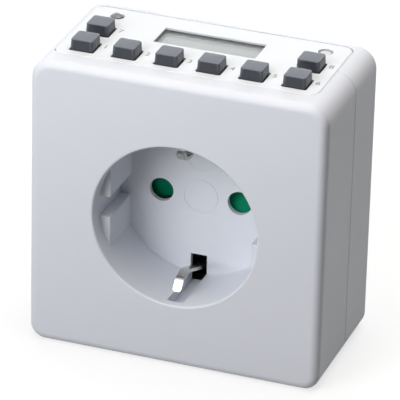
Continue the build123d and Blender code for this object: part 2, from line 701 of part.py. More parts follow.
def keypad_mat():
    """Silicone mat on the control board, with a hollow dome under each key."""
    left, right = KEY_XS[0] - MAT_MARGIN, KEY_XS[-1] + MAT_MARGIN
    arm = 2 * MAT_MARGIN
    mat = slab(left, right, FRONT_ROW - MAT_MARGIN, FRONT_ROW + MAT_MARGIN, Z_BOARD_TOP, Z_MAT_TOP)
    mat += slab(right - arm, right, FRONT_ROW, BACK_ROW + MAT_MARGIN, Z_BOARD_TOP, Z_MAT_TOP)
    mat += slab(left, left + arm, FRONT_ROW, RESET_PLACE[1] + DOME_R, Z_BOARD_TOP, Z_MAT_TOP)
    for x, y in [*KEY_PLACES, RESET_PLACE]:
        mat += cone_z(DOME_R, DOME_TOP_R, Z_MAT_TOP, Z_DOME_TOP, x, y)
        hollow_top = Z_DOME_TOP - DOME_SKIN
        mat -= cone_z(DOME_R - DOME_SKIN, DOME_TOP_R - DOME_SKIN, Z_BOARD_TOP, hollow_top, x, y)
    return mat


def lcd_outline(margin):
    """Rectangle round the display window, grown by a margin."""
    return Pos(LCD_X, LCD_Y) * Rectangle(LCD_WINDOW_WIDTH + 2 * margin, LCD_WINDOW_DEPTH + 2 * margin)


def lcd_window():
    """Clear window that fills the panel's opening from below."""
    window = prism_z(lcd_outline(-LCD_WINDOW_GAP), Z_PANEL, Z_TOP - LCD_WINDOW_DROP)
    return window + prism_z(lcd_outline(LCD_FLANGE), Z_PANEL - LCD_FLANGE_T, Z_PANEL)


def lcd_glass():
    """Display glass on the two contact strips."""
    return prism_z(lcd_outline(LCD_GLASS_MARGIN), Z_GLASS, Z_GLASS_TOP)


def lcd_frame():
    """Frame on the control board that holds the glass under the panel."""
    ring = lcd_outline(LCD_FRAME_MARGIN) - lcd_outline(LCD_GLASS_MARGIN + LCD_GAP)
    return prism_z(ring, Z_BOARD_TOP, Z_PANEL)


def zebra_strips():
    """Two elastic contact strips between the control board and the glass."""
    strips = []
    half_length = LCD_WINDOW_WIDTH / 2 + LCD_GLASS_MARGIN - LCD_GAP
    for side in (-1, 1):
        y = LCD_Y + side * (LCD_WINDOW_DEPTH / 2 + LCD_GLASS_MARGIN - ZEBRA_WIDTH / 2)
        section = Pos(LCD_X, y) * Rectangle(2 * half_length, ZEBRA_WIDTH)
        strips.append(prism_z(section, Z_BOARD_TOP, Z_GLASS))
    return Compound(children=strips)


def indicator_lens():
    """Round lens in the panel with a flange against its underside."""
    lens = rod_z(LENS_R, Z_PANEL, Z_TOP - LENS_DROP, *LAMP_PLACE)
    return lens + rod_z(LENS_FLANGE_R, Z_PANEL - LENS_FLANGE_T, Z_PANEL, *LAMP_PLACE)


def indicator_led():
    """Lamp on the control board, under the lens."""
    z_top = Z_PANEL - LENS_FLANGE_T - LED_GAP
    led = rod_z(LED_R, Z_BOARD_TOP, z_top, *LAMP_PLACE)
    led = fillet(led.faces().sort_by(Axis.Z)[-1].edges(), LED_R / 2)
    return led + rod_z(LED_RIM_R, Z_BOARD_TOP, Z_BOARD_TOP + LED_RIM_T, *LAMP_PLACE)


def control_board():
    """Circuit board on the panel's posts."""
    inside = panel_outline(-PANEL_LEDGE - BOARD_GAP)
    board = prism_z(inside, Z_BOARD, Z_BOARD_TOP)
    for x, y in PANEL_POSTS:
        board -= rod_z(SMALL_SCREW_R + SMALL_SCREW_GAP, Z_BOARD - OVERRUN, Z_BOARD_TOP + OVERRUN, x, y)
    return board


def controller_chip():
    """Controller under the control board."""
    half = CHIP_SIZE / 2
    y = Y_FRONT + CHIP_Y
    chip = slab(CHIP_X - half, CHIP_X + half, y - half, y + half, Z_BOARD - CHIP_T, Z_BOARD)
    return chamfer(chip.faces().sort_by(Axis.Z)[0].edges(), CHIP_T / 4)


def crystal():
    """Clock crystal, a small can lying against the control board."""
    start = CHIP_X - CRYSTAL_LENGTH / 2
    section = Pos(Y_FRONT + CHIP_Y + CRYSTAL_BACK, Z_BOARD - CRYSTAL_R) * Circle(CRYSTAL_R)
    return prism_x(section, start, start + CRYSTAL_LENGTH)


def backup_cell():
    """Rechargeable button cell under the control board."""
    y = Y_FRONT + CELL_Y
    cell = rod_z(CELL_R, Z_BOARD - CELL_T + CELL_CAP_T, Z_BOARD, CELL_X, y)
    return cell + rod_z(CELL_CAP_R, Z_BOARD - CELL_T, Z_BOARD - CELL_T + CELL_CAP_T, CELL_X, y)


def small_screw():
    """Board screw along +Z, its head's underside at the origin."""
    screw = Pos(0, 0, -SMALL_SCREW_HEAD_T / 2) * Cylinder(SMALL_SCREW_HEAD_R, SMALL_SCREW_HEAD_T)
    length = BOARD_T + SMALL_SCREW_GRIP - SMALL_SCREW_GAP
    screw += Pos(0, 0, length / 2) * Cylinder(SMALL_SCREW_R, length)
    slot = Box(2 * SMALL_SCREW_HEAD_R, CROSS_SLOT_WIDTH, CROSS_SLOT_DEPTH)
    return screw - Pos(0, 0, -SMALL_SCREW_HEAD_T) * slot


def board_screws():
    """Eight small screws: four up into the panel, four back into the standoffs."""
    screws = [Pos(x, y, Z_BOARD) * small_screw() for x, y in PANEL_POSTS]
    screws += [Pos(x, Y_MAINS, z) * Rot(-90, 0, 0) * small_screw() for x, z in STANDOFFS]
    return Compound(children=screws)


# Shutter, contacts and their carrier


def shutter_wing():
    """Right wing: a ring sector whose front face slopes back towards its upper edge."""
    reach = SHUTTER_R + OVERRUN
    spread = reach * math.tan(math.radians(SHUTTER_HALF_ANGLE))
    sector = Circle(SHUTTER_R) & make_face(Polyline((0, 0), (reach, spread), (reach, -spread), (0, 0)))
    wing = prism_y(sector, Y_SHUTTER, Y_SHUTTER_BACK)
    high = SHUTTER_R * math.sin(math.radians(SHUTTER_HALF_ANGLE))
    slope = Polyline(
        (Y_SHUTTER, -high),
        (Y_SHUTTER + SHUTTER_RAMP, high),
        (Y_SHUTTER - OVERRUN, high),
        (Y_SHUTTER - OVERRUN, -high),
        (Y_SHUTTER, -high),
    )
    return wing - prism_x(make_face(slope), 0, reach)


def shutter():
    """Child-safety shutter: two wings on a hub that turns on the carrier's pivot."""
    wing = shutter_wing()
    disc = wing + Rot(0, 180, 0) * wing
    disc += rod_y(SHUTTER_HUB_R, Y_SHUTTER, Y_SHUTTER_BACK)
    return disc - rod_y(PIVOT_R + PIVOT_GAP, Y_SHUTTER - OVERRUN, Y_SHUTTER_BACK + OVERRUN)


def shutter_spring():
    """Coiled return spring round the pivot, behind the shutter."""
    height = SPRING_SPACE - 2 * SPRING_WIRE_R - 2 * SPRING_GAP
    coil = Helix(pitch=height / SPRING_TURNS, height=height, radius=SPRING_R)
    section = Plane(origin=coil @ 0, z_dir=coil % 0) * Circle(SPRING_WIRE_R)
    wire = sweep(section, path=coil)
    start = Y_SHUTTER_BACK + SPRING_GAP + SPRING_WIRE_R
    return Pos(0, start, 0) * Rot(-90, 0, 0) * wire


def contact_carrier():
    """Insulating plate with the shutter's pivot and a sleeve round each contact."""
    outside = LEG_X + CARRIER_LEG_T
    high = CARRIER_HALF_HEIGHT
    carrier = slab(-outside, outside, Y_CARRIER, Y_CARRIER_BACK, -high, high)
    leg = CARRIER_LEG_HALF_HEIGHT
    carrier += slab(LEG_X, outside, Y_FLOOR_BACK, Y_CARRIER, -leg, leg)
    carrier += slab(-outside, -LEG_X, Y_FLOOR_BACK, Y_CARRIER, -leg, leg)
    carrier += rod_y(PIVOT_R, Y_FLOOR_BACK, Y_CARRIER)
    for x in (-PIN_X, PIN_X):
        outer = Pos(x, 0) * Rectangle(2 * SLEEVE_OUT_X, 2 * SLEEVE_OUT_Z)
        inner = Pos(x, 0) * Rectangle(2 * SLEEVE_HALF_WIDTH, 2 * SLEEVE_HALF_HEIGHT)
        carrier += prism_y(outer - inner, Y_CARRIER_BACK, Y_CONTACT)
        carrier -= rod_y(CARRIER_HOLE_R, Y_CARRIER - OVERRUN, Y_CARRIER_BACK + OVERRUN, x)
    return carrier - rod_y(RIVET_R, Y_CARRIER - OVERRUN, Y_CARRIER_BACK + OVERRUN, 0, foot_rivet_z())


def foot_rivet_z():
    """Height of the rivet through the strap's foot, the clip and the carrier."""
    return SPRING_R + SPRING_WIRE_R + FOOT_RIVET_GAP + RIVET_HEAD_R


def socket_contact(x):
    """Sprung contact: a base plate with two leaves that grip the pin."""
    wide, high = CONTACT_BASE_HALF_WIDTH, CONTACT_BASE_HALF_HEIGHT
    contact = slab(x - wide, x + wide, Y_CONTACT, Y_CONTACT_BACK, -high, high)
    root = PIN_R + LEAF_T
    pinch = PIN_R - LEAF_PINCH + LEAF_T / 2
    mouth = Y_CARRIER_BACK + LEAF_SETBACK
    points = [
        (Y_CONTACT + STRIP_T / 2, root),
        (mouth + LEAF_MOUTH, pinch),
        (mouth, pinch + LEAF_FLARE),
    ]
    leaf = strip(points, LEAF_T, LEAF_HALF_WIDTH, STRIP_BEND, x)
    return contact + mirrored(leaf)


def plug_pin(x):
    """Round plug pin with a collar and a riveted inner end."""
    pin = rod_y(PIN_R, 0, PIN_LENGTH, x)
    pin = fillet(pin.faces().sort_by(Axis.Y)[-1].edges(), PIN_TIP_R)
    rivet_start = Y_COLLAR - STRIP_T
    pin += rod_y(PIN_SHANK_R, rivet_start, 0, x)
    pin += rod_y(PIN_COLLAR_R, Y_COLLAR, -BOSS_END_WALL, x)
    return pin + rod_y(PIN_RIVET_R, rivet_start - PIN_RIVET_T, rivet_start, x)


def pin_plate_points():
    """Start of each busbar: the plate on its pin, then the bend behind the sleeve."""
    y = Y_COLLAR - STRIP_T / 2
    return [(y, -BUSBAR_TAIL), (y, WEB_Z)]


def neutral_busbar():
    """Strip from the left pin to the left contact."""
    y = Y_CONTACT_BACK + STRIP_T / 2
    points = [*pin_plate_points(), (y, WEB_Z), (y, -BUSBAR_TAIL)]
    bar = strip(points, STRIP_T, BUSBAR_HALF_WIDTH, STRIP_BEND, -PIN_X)
    return bar - pin_hole(-PIN_X)


def live_busbar():
    """Strip from the right pin to the upper edge of the mains board."""
    y = Y_MAINS_BACK + STRIP_T / 2
    points = [*pin_plate_points(), (y, WEB_Z), (y, BUSBAR_REACH)]
    bar = strip(points, STRIP_T, BUSBAR_HALF_WIDTH, STRIP_BEND, PIN_X)
    return bar - pin_hole(PIN_X)


def pin_hole(x):
    """Hole for a pin's shank through a busbar."""
    return rod_y(PIN_SHANK_R + PIN_SHANK_GAP, Y_COLLAR - STRIP_T - OVERRUN, Y_COLLAR + OVERRUN, x)


def switched_busbar():
    """Strip from the mains board's lower edge to the right contact."""
    y_contact = Y_CONTACT_BACK + STRIP_T / 2
    y_board = Y_MAINS_BACK + STRIP_T / 2
    bend = min(STRIP_BEND, (y_contact - y_board) / 2 - STRIP_T / 10)
    points = [(y_contact, BUSBAR_TAIL), (y_contact, -WEB_Z), (y_board, -WEB_Z), (y_board, -BUSBAR_REACH)]
    return strip(points, STRIP_T, BUSBAR_HALF_WIDTH, bend, PIN_X)


# Earth path


def earth_clip():
    """One bent strip: a bridge behind the carrier and an arm at top and bottom."""
    bridge = Y_CARRIER_BACK + CLIP_T / 2
    upper = [
        (bridge, RECESS_R - CLIP_ROOT_IN),
        (Y_FLOOR + CLIP_ROOT_START, RECESS_R - CLIP_ROOT_IN),
        (Y_FRONT + CLIP_TOP_BACK, RECESS_R - CLIP_TOP_IN),
        (Y_FRONT + CLIP_KNEE_BACK, RECESS_R - CLIP_KNEE_IN),
        (Y_FRONT + CLIP_TIP_BACK, RECESS_R - CLIP_TIP_IN),
    ]
    lower = [(y, -z) for y, z in reversed(upper)]
    clip = strip([*lower, *upper], CLIP_T, CLIP_WIDTH / 2, CLIP_BEND)
    tip_edges = [
        edge
        for edge in clip.edges().filter_by(lambda e: abs(e.length - CLIP_T) < CLIP_T / 10)
        if edge.center().Y < Y_FRONT + CLIP_TIP_BACK + CLIP_T
    ]
    clip = fillet(tip_edges, CLIP_WIDTH / 2 - SMALLEST_ROUND)
    hole_end = Y_CARRIER_BACK + CLIP_T + OVERRUN
    return clip - rod_y(RIVET_R, Y_CARRIER_BACK - OVERRUN, hole_end, 0, foot_rivet_z())


def plug_earth_contact(side):
    """Bowed strip in the boss's groove, with a leg to the earth strap."""
    seat = EARTH_PLATE_SEAT + STRIP_T / 2
    leg_y = -EARTH_LEG_BACK
    middle = (leg_y - EARTH_PLATE_START) / 2
    points = [
        (-EARTH_PLATE_START, seat),
        (middle, seat + EARTH_PLATE_BOW),
        (leg_y, seat),
        (leg_y, EARTH_LEG_END),
    ]
    contact = strip(points, STRIP_T, EARTH_PLATE_HALF_WIDTH, STRIP_BEND)
    contact -= rod_y(RIVET_R, leg_y - OVERRUN, leg_y + OVERRUN, 0, RIVET_Z)
    return contact if side > 0 else mirror(contact, about=Plane.XY)


def earth_strap():
    """Plate between the plug's earth legs, with a tongue to the clip's bridge."""
    start = -EARTH_LEG_BACK + STRIP_T / 2
    foot_y = Y_CARRIER_BACK + CLIP_T
    wide, high = STRAP_HALF_WIDTH, STRAP_HALF_HEIGHT
    strap = slab(-wide, wide, start, start + STRAP_T, -high, high)
    half = CLIP_WIDTH / 2
    strap += slab(-half, half, foot_y, start + STRAP_T, -STRIP_T / 2, STRIP_T / 2)
    foot_top = foot_rivet_z() + STRAP_FOOT_END
    strap += slab(-half, half, foot_y, foot_y + STRIP_T, -STRIP_T / 2, foot_top)
    for z in (-RIVET_Z, RIVET_Z):
        strap -= rod_y(RIVET_R, start - OVERRUN, start + STRAP_T + OVERRUN, 0, z)
    return strap - rod_y(RIVET_R, foot_y - OVERRUN, foot_y + STRIP_T + OVERRUN, 0, foot_rivet_z())


def rivet(y0, y1, z):
    """Rivet along Y with a head at each end of its grip."""
    body = rod_y(RIVET_R, y0, y1, 0, z)
    body += rod_y(RIVET_HEAD_R, y0 - RIVET_HEAD_T, y0, 0, z)
    return body + rod_y(RIVET_HEAD_R, y1, y1 + RIVET_HEAD_T, 0, z)


def earth_rivets():
    """Three rivets that join the strap to both plug contacts and to the clip."""
    start = -EARTH_LEG_BACK - STRIP_T / 2
    end = -EARTH_LEG_BACK + STRIP_T / 2 + STRAP_T
    rivets = [rivet(start, end, z) for z in (-RIVET_Z, RIVET_Z)]
    rivets.append(rivet(Y_CARRIER, Y_CARRIER_BACK + CLIP_T + STRIP_T, foot_rivet_z()))
    return Compound(children=rivets)


# Mains board and its parts


def mains_board():
    """Circuit board on the standoffs, open round the plug and clear of the posts."""
    board = slab(-MAINS_HALF, MAINS_HALF, Y_MAINS, Y_MAINS_BACK, MAINS_LOW, MAINS_TOP)
    for x, z in CASE_POSTS:
        out = math.copysign(CASE_WIDTH, x)
        inner = x - math.copysign(MAINS_NOTCH, x)
        z0, z1 = (Z_BOTTOM, z + MAINS_NOTCH) if z < 0 else (z - MAINS_NOTCH, Z_TOP)
        board -= slab(min(inner, out), max(inner, out), Y_MAINS - OVERRUN, Y_MAINS_BACK + OVERRUN, z0, z1)
    board -= rod_y(MAINS_OPENING_R, Y_MAINS - OVERRUN, Y_MAINS_BACK + OVERRUN)
    for x, z in STANDOFFS:
        hole = SMALL_SCREW_R + SMALL_SCREW_GAP
        board -= rod_y(hole, Y_MAINS - OVERRUN, Y_MAINS_BACK + OVERRUN, x, z)
    return board


def block_on_board(x0, x1, z0, z1, cup_gap, edge):
    """Box-shaped part that stands on the mains board, its free edges broken."""
    block = slab(x0, x1, Y_FLOOR_BACK + cup_gap, Y_MAINS, z0, z1)
    return chamfer(block.faces().sort_by(Axis.Y)[0].edges(), edge)


def relay():
    """Switching relay at the right, above the lower post."""
    right = MAINS_HALF - BLOCK_EDGE_GAP
    low = POST_LOW_Z + MAINS_NOTCH
    return block_on_board(right - RELAY_WIDTH, right, low, low + RELAY_HEIGHT, RELAY_CUP_GAP, RELAY_EDGE)


def film_capacitor():
    """Film capacitor of the supply, at the left."""
    left = -MAINS_HALF + BLOCK_EDGE_GAP
    low = POST_LOW_Z + MAINS_NOTCH + FILM_CAP_RISE
    high = low + FILM_CAP_HEIGHT
    return block_on_board(left, left + FILM_CAP_WIDTH, low, high, FILM_CAP_CUP_GAP, FILM_CAP_EDGE)


def smoothing_capacitor():
    """Round can with its pressed groove near the board."""
    x = -MAINS_HALF + CAN_CAP_SIDE_GAP + CAN_CAP_R
    can = rod_y(CAN_CAP_R, Y_FLOOR_BACK + CAN_CAP_CUP_GAP, Y_MAINS, x, CAN_CAP_Z)
    can = fillet(can.faces().sort_by(Axis.Y)[0].edges(), CAN_CAP_GROOVE)
    groove_y = Y_MAINS - CAN_CAP_R / 2
    ring = Circle(CAN_CAP_R + OVERRUN) - Circle(CAN_CAP_R - CAN_CAP_GROOVE)
    return can - prism_y(Pos(x, CAN_CAP_Z) * ring, groove_y - CAN_CAP_GROOVE, groove_y)


def fuse():
    """Glass fuse with a metal cap at each end, lying on the mains board."""
    middle = Y_MAINS - FUSE_R
    half = FUSE_LENGTH / 2
    section = Pos(middle, MAINS_LOW + FUSE_EDGE)
    body = prism_x(section * Circle(FUSE_R - FUSE_WAIST), -half, half)
    for start in (-half, half - FUSE_CAP_LENGTH):
        body += prism_x(section * Circle(FUSE_R), start, start + FUSE_CAP_LENGTH)
    return body


def resistors():
    """Row of power resistors that lie on the mains board."""
    parts = []
    y = Y_MAINS - RESISTOR_R
    outer_x = MAINS_HALF - RESISTOR_SIDE_GAP - RESISTOR_R
    low = RESISTOR_Z - RESISTOR_LENGTH / 2
    cap = RESISTOR_LENGTH / 4
    for number in range(RESISTOR_COUNT):
        x = outer_x - number * RESISTOR_PITCH
        body = rod_z(RESISTOR_R - RESISTOR_WAIST, low, low + RESISTOR_LENGTH, x, y)
        body += rod_z(RESISTOR_R, low, low + cap, x, y)
        body += rod_z(RESISTOR_R, low + RESISTOR_LENGTH - cap, low + RESISTOR_LENGTH, x, y)
        parts.append(body)
    return Compound(children=parts)


def ribbon_cable():
    """Flat cable from the control board down to the mains board."""
    y = Y_MAINS - RIBBON_STANDOFF
    z = MAINS_TOP - RIBBON_EDGE
    return strip([(y, Z_BOARD), (y, z), (Y_MAINS, z)], RIBBON_T, RIBBON_HALF_WIDTH, RIBBON_BEND, RIBBON_X)


def build_nodes():
    """Every named piece of the timer."""
    nodes = {
        "front_shell": front_shell(),
        "rear_shell": rear_shell(),
        "plug_body": plug_body(),
        "casing_screws": casing_screws(),
        "control_panel": control_panel(),
        "reset_button": reset_button(),
        "keypad_mat": keypad_mat(),
        "lcd_window": lcd_window(),
        "lcd_glass": lcd_glass(),
        "lcd_frame": lcd_frame(),
        "zebra_strips": zebra_strips(),
        "indicator_lens": indicator_lens(),
        "indicator_led": indicator_led(),
        "control_board": control_board(),
        "controller_chip": controller_chip(),
        "crystal": crystal(),
        "backup_cell": backup_cell(),
        "board_screws": board_screws(),
        "shutter": shutter(),
        "shutter_spring": shutter_spring(),
        "contact_carrier": contact_carrier(),
        "contact_left": socket_contact(-PIN_X),
        "contact_right": socket_contact(PIN_X),
        "plug_pin_left": plug_pin(-PIN_X),
        "plug_pin_right": plug_pin(PIN_X),
        "neutral_busbar": neutral_busbar(),
        "live_busbar": live_busbar(),
        "switched_busbar": switched_busbar(),
        "earth_clip": earth_clip(),
        "plug_earth_top": plug_earth_contact(1),
        "plug_earth_bottom": plug_earth_contact(-1),
        "earth_strap": earth_strap(),
        "earth_rivets": earth_rivets(),
        "mains_board": mains_board(),
        "relay": relay(),
        "film_capacitor": film_capacitor(),
        "smoothing_capacitor": smoothing_capacitor(),
        "fuse": fuse(),
        "resistors": resistors(),
        "ribbon_cable": ribbon_cable(),
    }
    for number, (x, y) in enumerate(KEY_PLACES, start=1):
        nodes[f"key_{number}"] = key(x, y)
    return nodes


os.makedirs("parts", exist_ok=True)
for name, shape in build_nodes().items():
    export_step(shape, f"parts/{name}.step")
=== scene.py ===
"""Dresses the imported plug-in timer: its finishes, moulded keys, printed numerals, camera and studio."""

import logging
import math
from dataclasses import dataclass
from enum import Enum
from typing import ClassVar, Iterable, Sequence

import bmesh
import bpy
from mathutils import Matrix, Quaternion, Vector


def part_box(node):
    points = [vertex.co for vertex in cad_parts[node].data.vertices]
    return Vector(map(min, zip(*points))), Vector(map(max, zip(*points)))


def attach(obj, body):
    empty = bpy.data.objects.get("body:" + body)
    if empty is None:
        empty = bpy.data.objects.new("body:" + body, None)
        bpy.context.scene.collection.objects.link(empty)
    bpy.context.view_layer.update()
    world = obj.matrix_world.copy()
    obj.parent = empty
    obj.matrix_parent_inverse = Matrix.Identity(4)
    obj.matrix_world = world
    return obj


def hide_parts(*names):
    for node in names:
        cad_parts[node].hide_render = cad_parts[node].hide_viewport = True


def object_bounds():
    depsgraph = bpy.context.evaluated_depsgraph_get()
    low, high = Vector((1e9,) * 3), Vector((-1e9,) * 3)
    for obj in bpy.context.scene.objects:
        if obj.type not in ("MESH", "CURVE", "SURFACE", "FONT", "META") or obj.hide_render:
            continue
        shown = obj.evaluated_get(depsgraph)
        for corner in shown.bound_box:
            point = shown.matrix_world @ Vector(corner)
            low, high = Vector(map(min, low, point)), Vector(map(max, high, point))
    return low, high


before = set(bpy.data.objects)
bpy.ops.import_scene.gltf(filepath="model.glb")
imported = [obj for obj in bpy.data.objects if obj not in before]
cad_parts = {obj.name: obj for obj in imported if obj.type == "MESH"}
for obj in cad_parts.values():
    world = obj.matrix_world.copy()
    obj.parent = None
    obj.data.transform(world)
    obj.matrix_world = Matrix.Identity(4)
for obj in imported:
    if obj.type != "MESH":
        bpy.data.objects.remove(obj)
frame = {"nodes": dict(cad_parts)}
CAD_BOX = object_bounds()

# Names and values that the whole file shares
MM = 0.001
LOG = logging.getLogger("plug_timer")
KEY_COUNT = 8
FULL = (0.0, 1.0)
WHITE = (1.0, 1.0, 1.0, 1.0)
BLACK = (0.0, 0.0, 0.0, 1.0)

# The kinds of a node group's sockets, and where a Mix node that mixes colours has its own
FLOAT = "NodeSocketFloat"
VECTOR = "NodeSocketVector"
MIX_UNDER = 6
MIX_OVER = 7
MIX_RESULT = 2

Colour = tuple[float, float, float]
Range = tuple[float, float]
Point = tuple[float, float, float]
Ring = list[Vector]
Socket = bpy.types.NodeSocket
Sockets = bpy.types.NodeOutputs
Feeds = dict[str | int, Socket | float | tuple[float, ...]]


class Body(Enum):
    """The body that this file's fixed pieces ride on. A key rides on the body of its own name."""

    CASING = "casing"


class Slot(Enum):
    """Names of material slots for this file's own pieces; nothing in this file uses them."""

    KEY = "key_plastic"
    CLEAR = "clear_window"
    LENS = "lens_plastic"


class Streak(Enum):
    """The direction in which a sheet of metal was rolled or brushed."""

    ALONG_X = (0.06, 1.0, 1.0)
    ALONG_Y = (1.0, 0.06, 1.0)
    ALONG_Z = (1.0, 1.0, 0.06)


class Light(Enum):
    """The colours of the lamps' light."""

    PLAIN = (1.0, 1.0, 1.0)
    WARM = (1.0, 0.945, 0.885)
    COOL = (0.97, 0.985, 1.0)
    BLUE = (0.87, 0.945, 1.0)


# Shader nodes and the effects that finishes share
class Tree:
    """Adds and links the nodes of one node tree."""

    def __init__(self, tree: bpy.types.NodeTree) -> None:
        """Starts with an empty tree.

        Args:
            tree: the node tree to fill.
        """
        self.tree = tree
        self.tree.nodes.clear()

    def add(self, kind: str, feeds: Feeds | None = None, **settings: object) -> bpy.types.Node:
        """Adds a node.

        Args:
            kind: the node's type name.
            feeds: what its inputs get, as feed() takes it.
            settings: its properties, by name.

        Returns:
            The new node.
        """
        node = self.tree.nodes.new(kind)
        for name, value in settings.items():
            setattr(node, name, value)
        self.feed(node, feeds or {})
        return node

    def feed(self, node: bpy.types.Node, feeds: Feeds) -> None:
        """Gives a node's inputs their values.

        Args:
            node: the node.
            feeds: a plain value for each input, or the output to join to it, by the input's name
                or number.
        """
        for label, value in feeds.items():
            if isinstance(value, Socket):
                self.tree.links.new(value, node.inputs[label])
            else:
                node.inputs[label].default_value = value

    def math(self, operation: str, first: Socket, second: Socket | float) -> Socket:
        """Adds a Math node.

        Args:
            operation: the node's operation.
            first: the socket of its first value.
            second: the socket of its second value, or a plain number.

        Returns:
            The socket of the result.
        """
        return self.add("ShaderNodeMath", {0: first, 1: second}, operation=operation).outputs[0]

    def span(self, value: Socket, between: Range = FULL, into: Range = FULL) -> Socket:
        """Maps one range of a value onto another, and clamps it there.

        Args:
            value: the value to map.
            between: the lowest and highest value that count.
            into: what these two become.

        Returns:
            The socket of the result.
        """
        limits = dict(zip(("From Min", "From Max", "To Min", "To Max"), (*between, *into)))
        return self.add("ShaderNodeMapRange", {"Value": value, **limits}).outputs["Result"]

    def noise(self, place: Socket, scale: Socket | float, detail: float, roughness: float,
              distortion: float = 0.0) -> Socket:
        """Adds a noise texture.

        Args:
            place: the coordinates that it reads.
            scale: how often it changes in a metre.
            detail: its octaves.
            roughness: how strong the fine octaves are.
            distortion: how far it is bent out of line.

        Returns:
            The socket of the noise.
        """
        feeds = {"Vector": place, "Scale": scale, "Detail": detail, "Roughness": roughness,
                 "Distortion": distortion}
        return self.add("ShaderNodeTexNoise", feeds).outputs["Fac"]

    def object_place(self) -> Socket:
        """The place on the piece, in its own metres."""
        return self.add("ShaderNodeTexCoord").outputs["Object"]


class Effect:
    """A shader node group that several finishes share.

    Attributes:
        made: the groups built so far, by name.
        name: the group's name.
        takes: its inputs, with their usual values.
        gives: its outputs.
    """

    made: ClassVar[dict[str, bpy.types.NodeTree]] = {}
    name: ClassVar[str] = "effect"
    takes: ClassVar[dict[str, float | Point]] = {}
    gives: ClassVar[tuple[str, ...]] = ()

    @classmethod
    def group(cls) -> bpy.types.NodeTree:
        """The effect's node group, which the first call builds.

        Returns:
            The shader node group.
        """
        if cls.name not in Effect.made:
            group = bpy.data.node_groups.new(cls.name, "ShaderNodeTree")
            for label, usual in cls.takes.items():
                kind = VECTOR if isinstance(usual, tuple) else FLOAT
                group.interface.new_socket(name=label, in_out="INPUT", socket_type=kind)
            for label in cls.gives:
                group.interface.new_socket(name=label, in_out="OUTPUT", socket_type=FLOAT)
            tree = Tree(group)
            start = tree.add("NodeGroupInput")
            tree.add("NodeGroupOutput", cls.fill(tree, start.outputs))
            Effect.made[cls.name] = group
        return Effect.made[cls.name]

    @classmethod
    def fill(cls, tree: Tree, given: Sockets) -> Feeds:
        """Adds the effect's own nodes."""
        raise NotImplementedError

    @classmethod
    def place(cls, tree: Tree, **values: object) -> Sockets:
        """Places the effect in a material.

        Args:
            tree: the material's nodes.
            values: the inputs that don't get their usual values.

        Returns:
            The effect's outputs by name.
        """
        return tree.add("ShaderNodeGroup", {**cls.takes, **values}, node_tree=cls.group()).outputs


class MouldGrain(Effect):
    """The fine grain that a spark-eroded mould leaves on plastic."""

    name = "mould_grain"
    takes = {"Grain": 3500.0, "Flow": 45.0}
    gives = ("Height", "Flow Mask")

    @classmethod
    def fill(cls, tree: Tree, given: Sockets) -> Feeds:
        """Adds the fine cells and the slow flow marks.

        Args:
            tree: the group's nodes.
            given: the group's inputs.

        Returns:
            The group's outputs.
        """
        place = tree.object_place()
        cells = tree.noise(place, given["Grain"], detail=2.0, roughness=0.6)
        flow = tree.noise(place, given["Flow"], detail=3.0, roughness=0.5, distortion=0.8)
        return {"Height": cells, "Flow Mask": tree.span(flow, between=(0.3, 0.7))}


class Dust(Effect):
    """Faint dust that settles on faces that look up, handling marks everywhere, and a mask of upward faces
    for painted sheen.
    """

    name = "settled_dust"
    takes = {"Patch": 160.0, "Amount": 0.5}
    gives = ("Dust Mask", "Smudge Mask", "Top Sheen Mask")

    @classmethod
    def fill(cls, tree: Tree, given: Sockets) -> Feeds:
        """Adds the dust, the smudges, and the share of each face that looks up, which carries the keys'
        painted sheen.

        Args:
            tree: the group's nodes.
            given: the group's inputs.

        Returns:
            The group's outputs.
        """
        place = tree.object_place()
        normal = tree.add("ShaderNodeNewGeometry").outputs["Normal"]
        upward = tree.add("ShaderNodeSeparateXYZ", {0: normal}).outputs["Z"]
        facing = tree.span(upward, between=(0.2, 1.0))
        patches = tree.noise(place, given["Patch"], detail=6.0, roughness=0.7)
        settled = tree.math("MULTIPLY", facing, tree.span(patches, between=(0.5, 0.75)))
        smudge = tree.span(tree.noise(place, 60.0, detail=4.0, roughness=0.55), between=(0.45, 0.7))
        return {"Dust Mask": tree.math("MULTIPLY", settled, given["Amount"]),
                "Smudge Mask": tree.math("MULTIPLY", smudge, given["Amount"]),
                "Top Sheen Mask": facing}


class RolledSheet(Effect):
    """The fine lines that rolling and stamping leave on metal, with small stains."""

    name = "rolled_sheet"
    takes = {"Direction": Streak.ALONG_Y.value, "Lines": 2600.0}
    gives = ("Height", "Line Mask", "Stain Mask")

    @classmethod
    def fill(cls, tree: Tree, given: Sockets) -> Feeds:
        """Adds the stretched lines and the stains.

        Args:
            tree: the group's nodes.
            given: the group's inputs.

        Returns:
            The group's outputs.
        """
        place = tree.object_place()
        both = {0: place, 1: given["Direction"]}
        stretched = tree.add("ShaderNodeVectorMath", both, operation="MULTIPLY").outputs[0]
        lines = tree.noise(stretched, given["Lines"], detail=4.0, roughness=0.65)
        stain = tree.noise(place, 220.0, detail=5.0, roughness=0.6)
        return {"Height": lines,
                "Line Mask": tree.span(lines, between=(0.3, 0.7)),
                "Stain Mask": tree.span(stain, between=(0.5, 0.72))}


class EdgePolish(Effect):
    """Painted highlight on the raised edges of a welded mesh, broken into spots."""

    name = "painted_edge_highlight"
    takes = {"Amount": 1.0}
    gives = ("Edge Mask",)

    @classmethod
    def fill(cls, tree: Tree, given: Sockets) -> Feeds:
        """Adds the mask from the mesh's own curvature, broken up by noise.

        Args:
            tree: the group's nodes.
            given: the group's inputs.

        Returns:
            The group's outputs.
        """
        raised = tree.add("ShaderNodeNewGeometry").outputs["Pointiness"]
        edge = tree.span(raised, between=(0.51, 0.58))
        spots = tree.noise(tree.object_place(), 900.0, detail=3.0, roughness=0.6)
        broken = tree.math("MULTIPLY", edge, tree.span(spots, between=(0.3, 0.6), into=(0.45, 1.0)))
        return {"Edge Mask": tree.math("MULTIPLY", broken, given["Amount"])}


